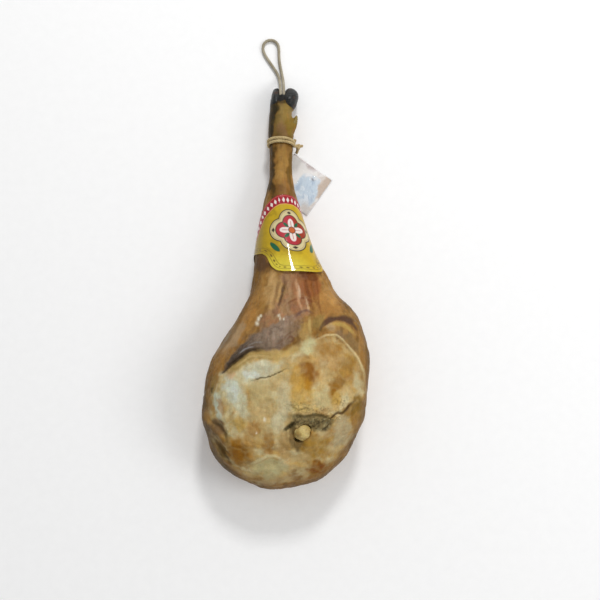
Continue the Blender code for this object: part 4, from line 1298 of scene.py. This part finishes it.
def band_colours(across, along, outer):
    """A generic print on yellow: a border, a flower in its frame over two leaves, and a trim."""
    flat = np.stack([across, along], axis=1)
    colours = print_border(paper_ground(across, along), flat)
    for turn in (-1, 1):
        leaf = blob(flat, FRAME_ACROSS + 0.0300 * turn, FRAME_PLACE - 0.0310, 0.0105, 0.0040, 52 * turn)
        colours = mixed(colours, GREEN, smooth_step((leaf - 0.35) / 0.12))
        colours = mixed(colours, INK, ring_mark(leaf, 0.36, 0.05) * 0.6)
    colours = print_flower(colours, across - FRAME_ACROSS, along - FRAME_PLACE)
    colours = print_trim(colours, flat)
    colours = mixed(colours, SIDE_PAPER, smooth_step((np.abs(across) - 0.084) / 0.004))
    return mixed(colours, PLAIN_PAPER, 1.0 - outer)


def make_band():
    rows = [(row / BAND_ROWS, BAND_THICKNESS) for row in range(BAND_ROWS + 1)]
    rows += [(row / BAND_ROWS, 0.0) for row in range(BAND_ROWS, -1, -10)]
    points, facts = [], []
    for side in range(BAND_SIDES):
        turn = 360.0 * side / BAND_SIDES - 180.0
        high, low = band_edges(turn)
        for row, depth in rows:
            points.append(band_point(BAND_FACING + turn, row, depth))
            facts.append((math.radians(turn) * MEAN_RADIUS, high + (low - high) * row, depth > 0))
    faces = []
    count = len(rows)
    for side in range(BAND_SIDES):
        near, far = side * count, (side + 1) % BAND_SIDES * count
        for index in range(count):
            after = (index + 1) % count
            faces.append((near + index, near + after, far + after, far + index))
    band = new_piece(points, faces, "paper_band")
    across, along, outer = np.array(facts, float).T
    paint(band.data, "painted", band_colours(across, along, outer))
    dressed(band, ["label_band"], paper_look())


# The sachet: a leaflet in a clear film. What the leaflet shows lies in the photo's pixels.
LEAFLET_WHITE = (240, 238, 234)
LEAFLET_SHADE = (194, 180, 172)
LEAFLET_GLARE = (240, 238, 238)
LEAFLET_BEIGE = (188, 162, 136)
LEAFLET_ROSE = (172, 146, 138)
BLUE = (198, 216, 230)
BLUE_STREAK = (160, 184, 210)
BLUE_PALE = (222, 232, 240)
# Blurred marks: across, down, reach across, reach down, tilt, colour, strength.
LEAFLET_MARKS = (
    (311, 180, 1.4, 3.2, -40, (90, 84, 84), 0.7), (309, 175, 2.6, 3.4, 0, (244, 244, 244), 0.9),
    (314, 181, 1.4, 3.4, -10, (240, 240, 240), 0.8), (305, 210, 6, 8, 0, (196, 190, 184), 0.8),
    (332, 180, 2.6, 2.6, 0, (88, 70, 62), 0.9),
)
# Dark edges: both ends, colour, strength.
LEAFLET_EDGES = (
    ([(296, 152), (333, 179)], (96, 78, 70), 0.8),
    ([(333, 181), (310, 214)], (140, 118, 104), 0.6),
)


def tag_surface(inset, bottom, top, wrinkle, name):
    tied, right, left = (np.array(corner) for corner in (TAG_TIED, TAG_RIGHT, TAG_LEFT))
    diagonal = (right + left - 2 * tied) / np.linalg.norm(right + left - 2 * tied)
    share = inset + (1 - 2 * inset) * np.arange(TAG_STEPS + 1) / TAG_STEPS
    column, row = (grid.ravel() for grid in np.meshgrid(share, share))
    flat = tied + (right - tied) * column[:, None] + (left - tied) * row[:, None]
    lift = TAG_REST + TAG_LIFT * np.maximum(0, 1 - (flat - tied) @ diagonal / TAG_BEND) ** 2
    ripple = wrinkle * layered(np.column_stack([flat, lift * 0]), 0.018, 101)
    edge = smooth_step(np.minimum.reduce([column, row, 1 - column, 1 - row]) / 0.08)
    low = np.column_stack([flat, lift + bottom])
    high = np.column_stack([flat, lift + top + ripple * edge])
    across = TAG_STEPS + 1
    upper = across * across
    faces = []
    for line in range(TAG_STEPS):
        for step in range(TAG_STEPS):
            corner = line * across + step
            quad = (corner, corner + 1, corner + across + 1, corner + across)
            faces.append(quad)
            faces.append(tuple(index + upper for index in reversed(quad)))
    rim = list(range(TAG_STEPS))
    rim += [line * across + TAG_STEPS for line in range(TAG_STEPS)]
    rim += [TAG_STEPS * across + step for step in range(TAG_STEPS, 0, -1)]
    rim += [line * across for line in range(TAG_STEPS, 0, -1)]
    for index, corner in enumerate(rim):
        after = rim[(index + 1) % len(rim)]
        faces.append((corner, after, after + upper, corner + upper))
    return new_piece(np.vstack([low, high]), faces, name)


def make_tag():
    leaflet = tag_surface(0.020, 0.0004, 0.0008, 0.0, "leaflet")
    points = mesh_values(leaflet.data, "co")
    flat = wandering(points, wandering(points, photo_pixels(points), 4.0, 0.016, 111), 2.0, 0.006, 113)
    blue = smooth_step((blob(flat, 305, 190, 12, 17, 14) - 0.24) / 0.28)
    blue_streaks = smooth_step(layered(points, (0.003, 0.012, 0.003), 121) * 2.4)
    colours = layers(
        np.tile(linear(LEAFLET_WHITE), (len(points), 1)),
        (LEAFLET_SHADE, cloud(points, 0.016, 115, 0.05, 0.35) * 0.5),
        (LEAFLET_GLARE, cloud(points, 0.012, 117, 0.05, 0.3) * 0.8),
        (LEAFLET_BEIGE, broken(blob(flat, 324, 186, 8, 20, 38), points, 119) * 0.85),
        (LEAFLET_ROSE, blob(flat, 309, 163, 14, 3, 38) * 0.7),
        (BLUE, blue),
        (BLUE_STREAK, blue * blue_streaks * 0.7),
        (BLUE_PALE, blue * cloud(points, 0.009, 123, 0.1, 0.3) * 0.8),
        *((colour, blob(flat, *place) * strength) for *place, colour, strength in LEAFLET_MARKS),
    )
    for ends, colour, strength in LEAFLET_EDGES:
        share = smooth_step(1.4 - along_line(flat, ends)[0] / 0.9)
        colours = mixed(colours, colour, share * strength)
    paint(leaflet.data, "painted", colours)
    dressed(leaflet, ["tag_sachet"], leaflet_look())
    film = tag_surface(0.0, 0.0, TAG_THICKNESS, 0.0005, "clear_sachet")
    dressed(film, ["tag_sachet"], film_look())


# Floor and light.
WORLD_LIGHT = 0.54
FLOOR_REACH = 14.0
FLOOR_PLACE = -0.0004


def make_floor():
    signs = ((-1, -1), (1, -1), (1, 1), (-1, 1))
    corners = [(x * FLOOR_REACH, y * FLOOR_REACH, FLOOR_PLACE) for x, y in signs]
    floor = new_piece(corners, [(0, 1, 2, 3)], "floor")
    floor.data.materials.append(floor_look())
    if floor.data.polygons[0].normal.z < 0:
        floor.data.flip_normals()


def area_light(name, place, target, across, down, watts):
    data = bpy.data.lights.new(name, "AREA")
    data.shape = "RECTANGLE"
    data.size = across
    data.size_y = down
    data.energy = watts
    light = link(bpy.data.objects.new(name, data))
    light.location = place
    light.rotation_euler = (Vector(target) - Vector(place)).to_track_quat("-Z", "Y").to_euler()


def make_light():
    scene = bpy.context.scene
    scene.view_settings.view_transform = "Standard"
    world = bpy.data.worlds.new("pale_room")
    world.use_nodes = True
    world.node_tree.nodes["Background"].inputs["Color"].default_value = (1.0, 1.0, 1.0, 1.0)
    world.node_tree.nodes["Background"].inputs["Strength"].default_value = WORLD_LIGHT
    scene.world = world
    area_light("key", (0.46, 3.03, 2.90), (0.02, 0.06, 0.05), 0.66, 0.62, 72.0)
    area_light("side", (2.90, -0.20, 2.60), (0.0, -0.05, 0.05), 1.8, 1.8, 45.0)


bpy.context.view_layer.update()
make_camera()
make_hanging_loop()
make_ham()
horn = horn_look("dark_horn", (12, 14, 14), (34, 37, 36), (78, 50, 34))
make_claw(NARROW_CLAW, "narrow_claw", horn)
make_claw(BROAD_CLAW, "broad_claw", horn)
make_claw(TOE_WEB, "toe_web", horn)
olive_horn = horn_look("olive_horn", (112, 92, 34), (136, 116, 54), (150, 142, 96))
make_claw(DEWCLAW_TIP, "dewclaw_tip", olive_horn)
make_bone()
make_ankle_twine()
make_band()
make_tag()
make_floor()
make_light()
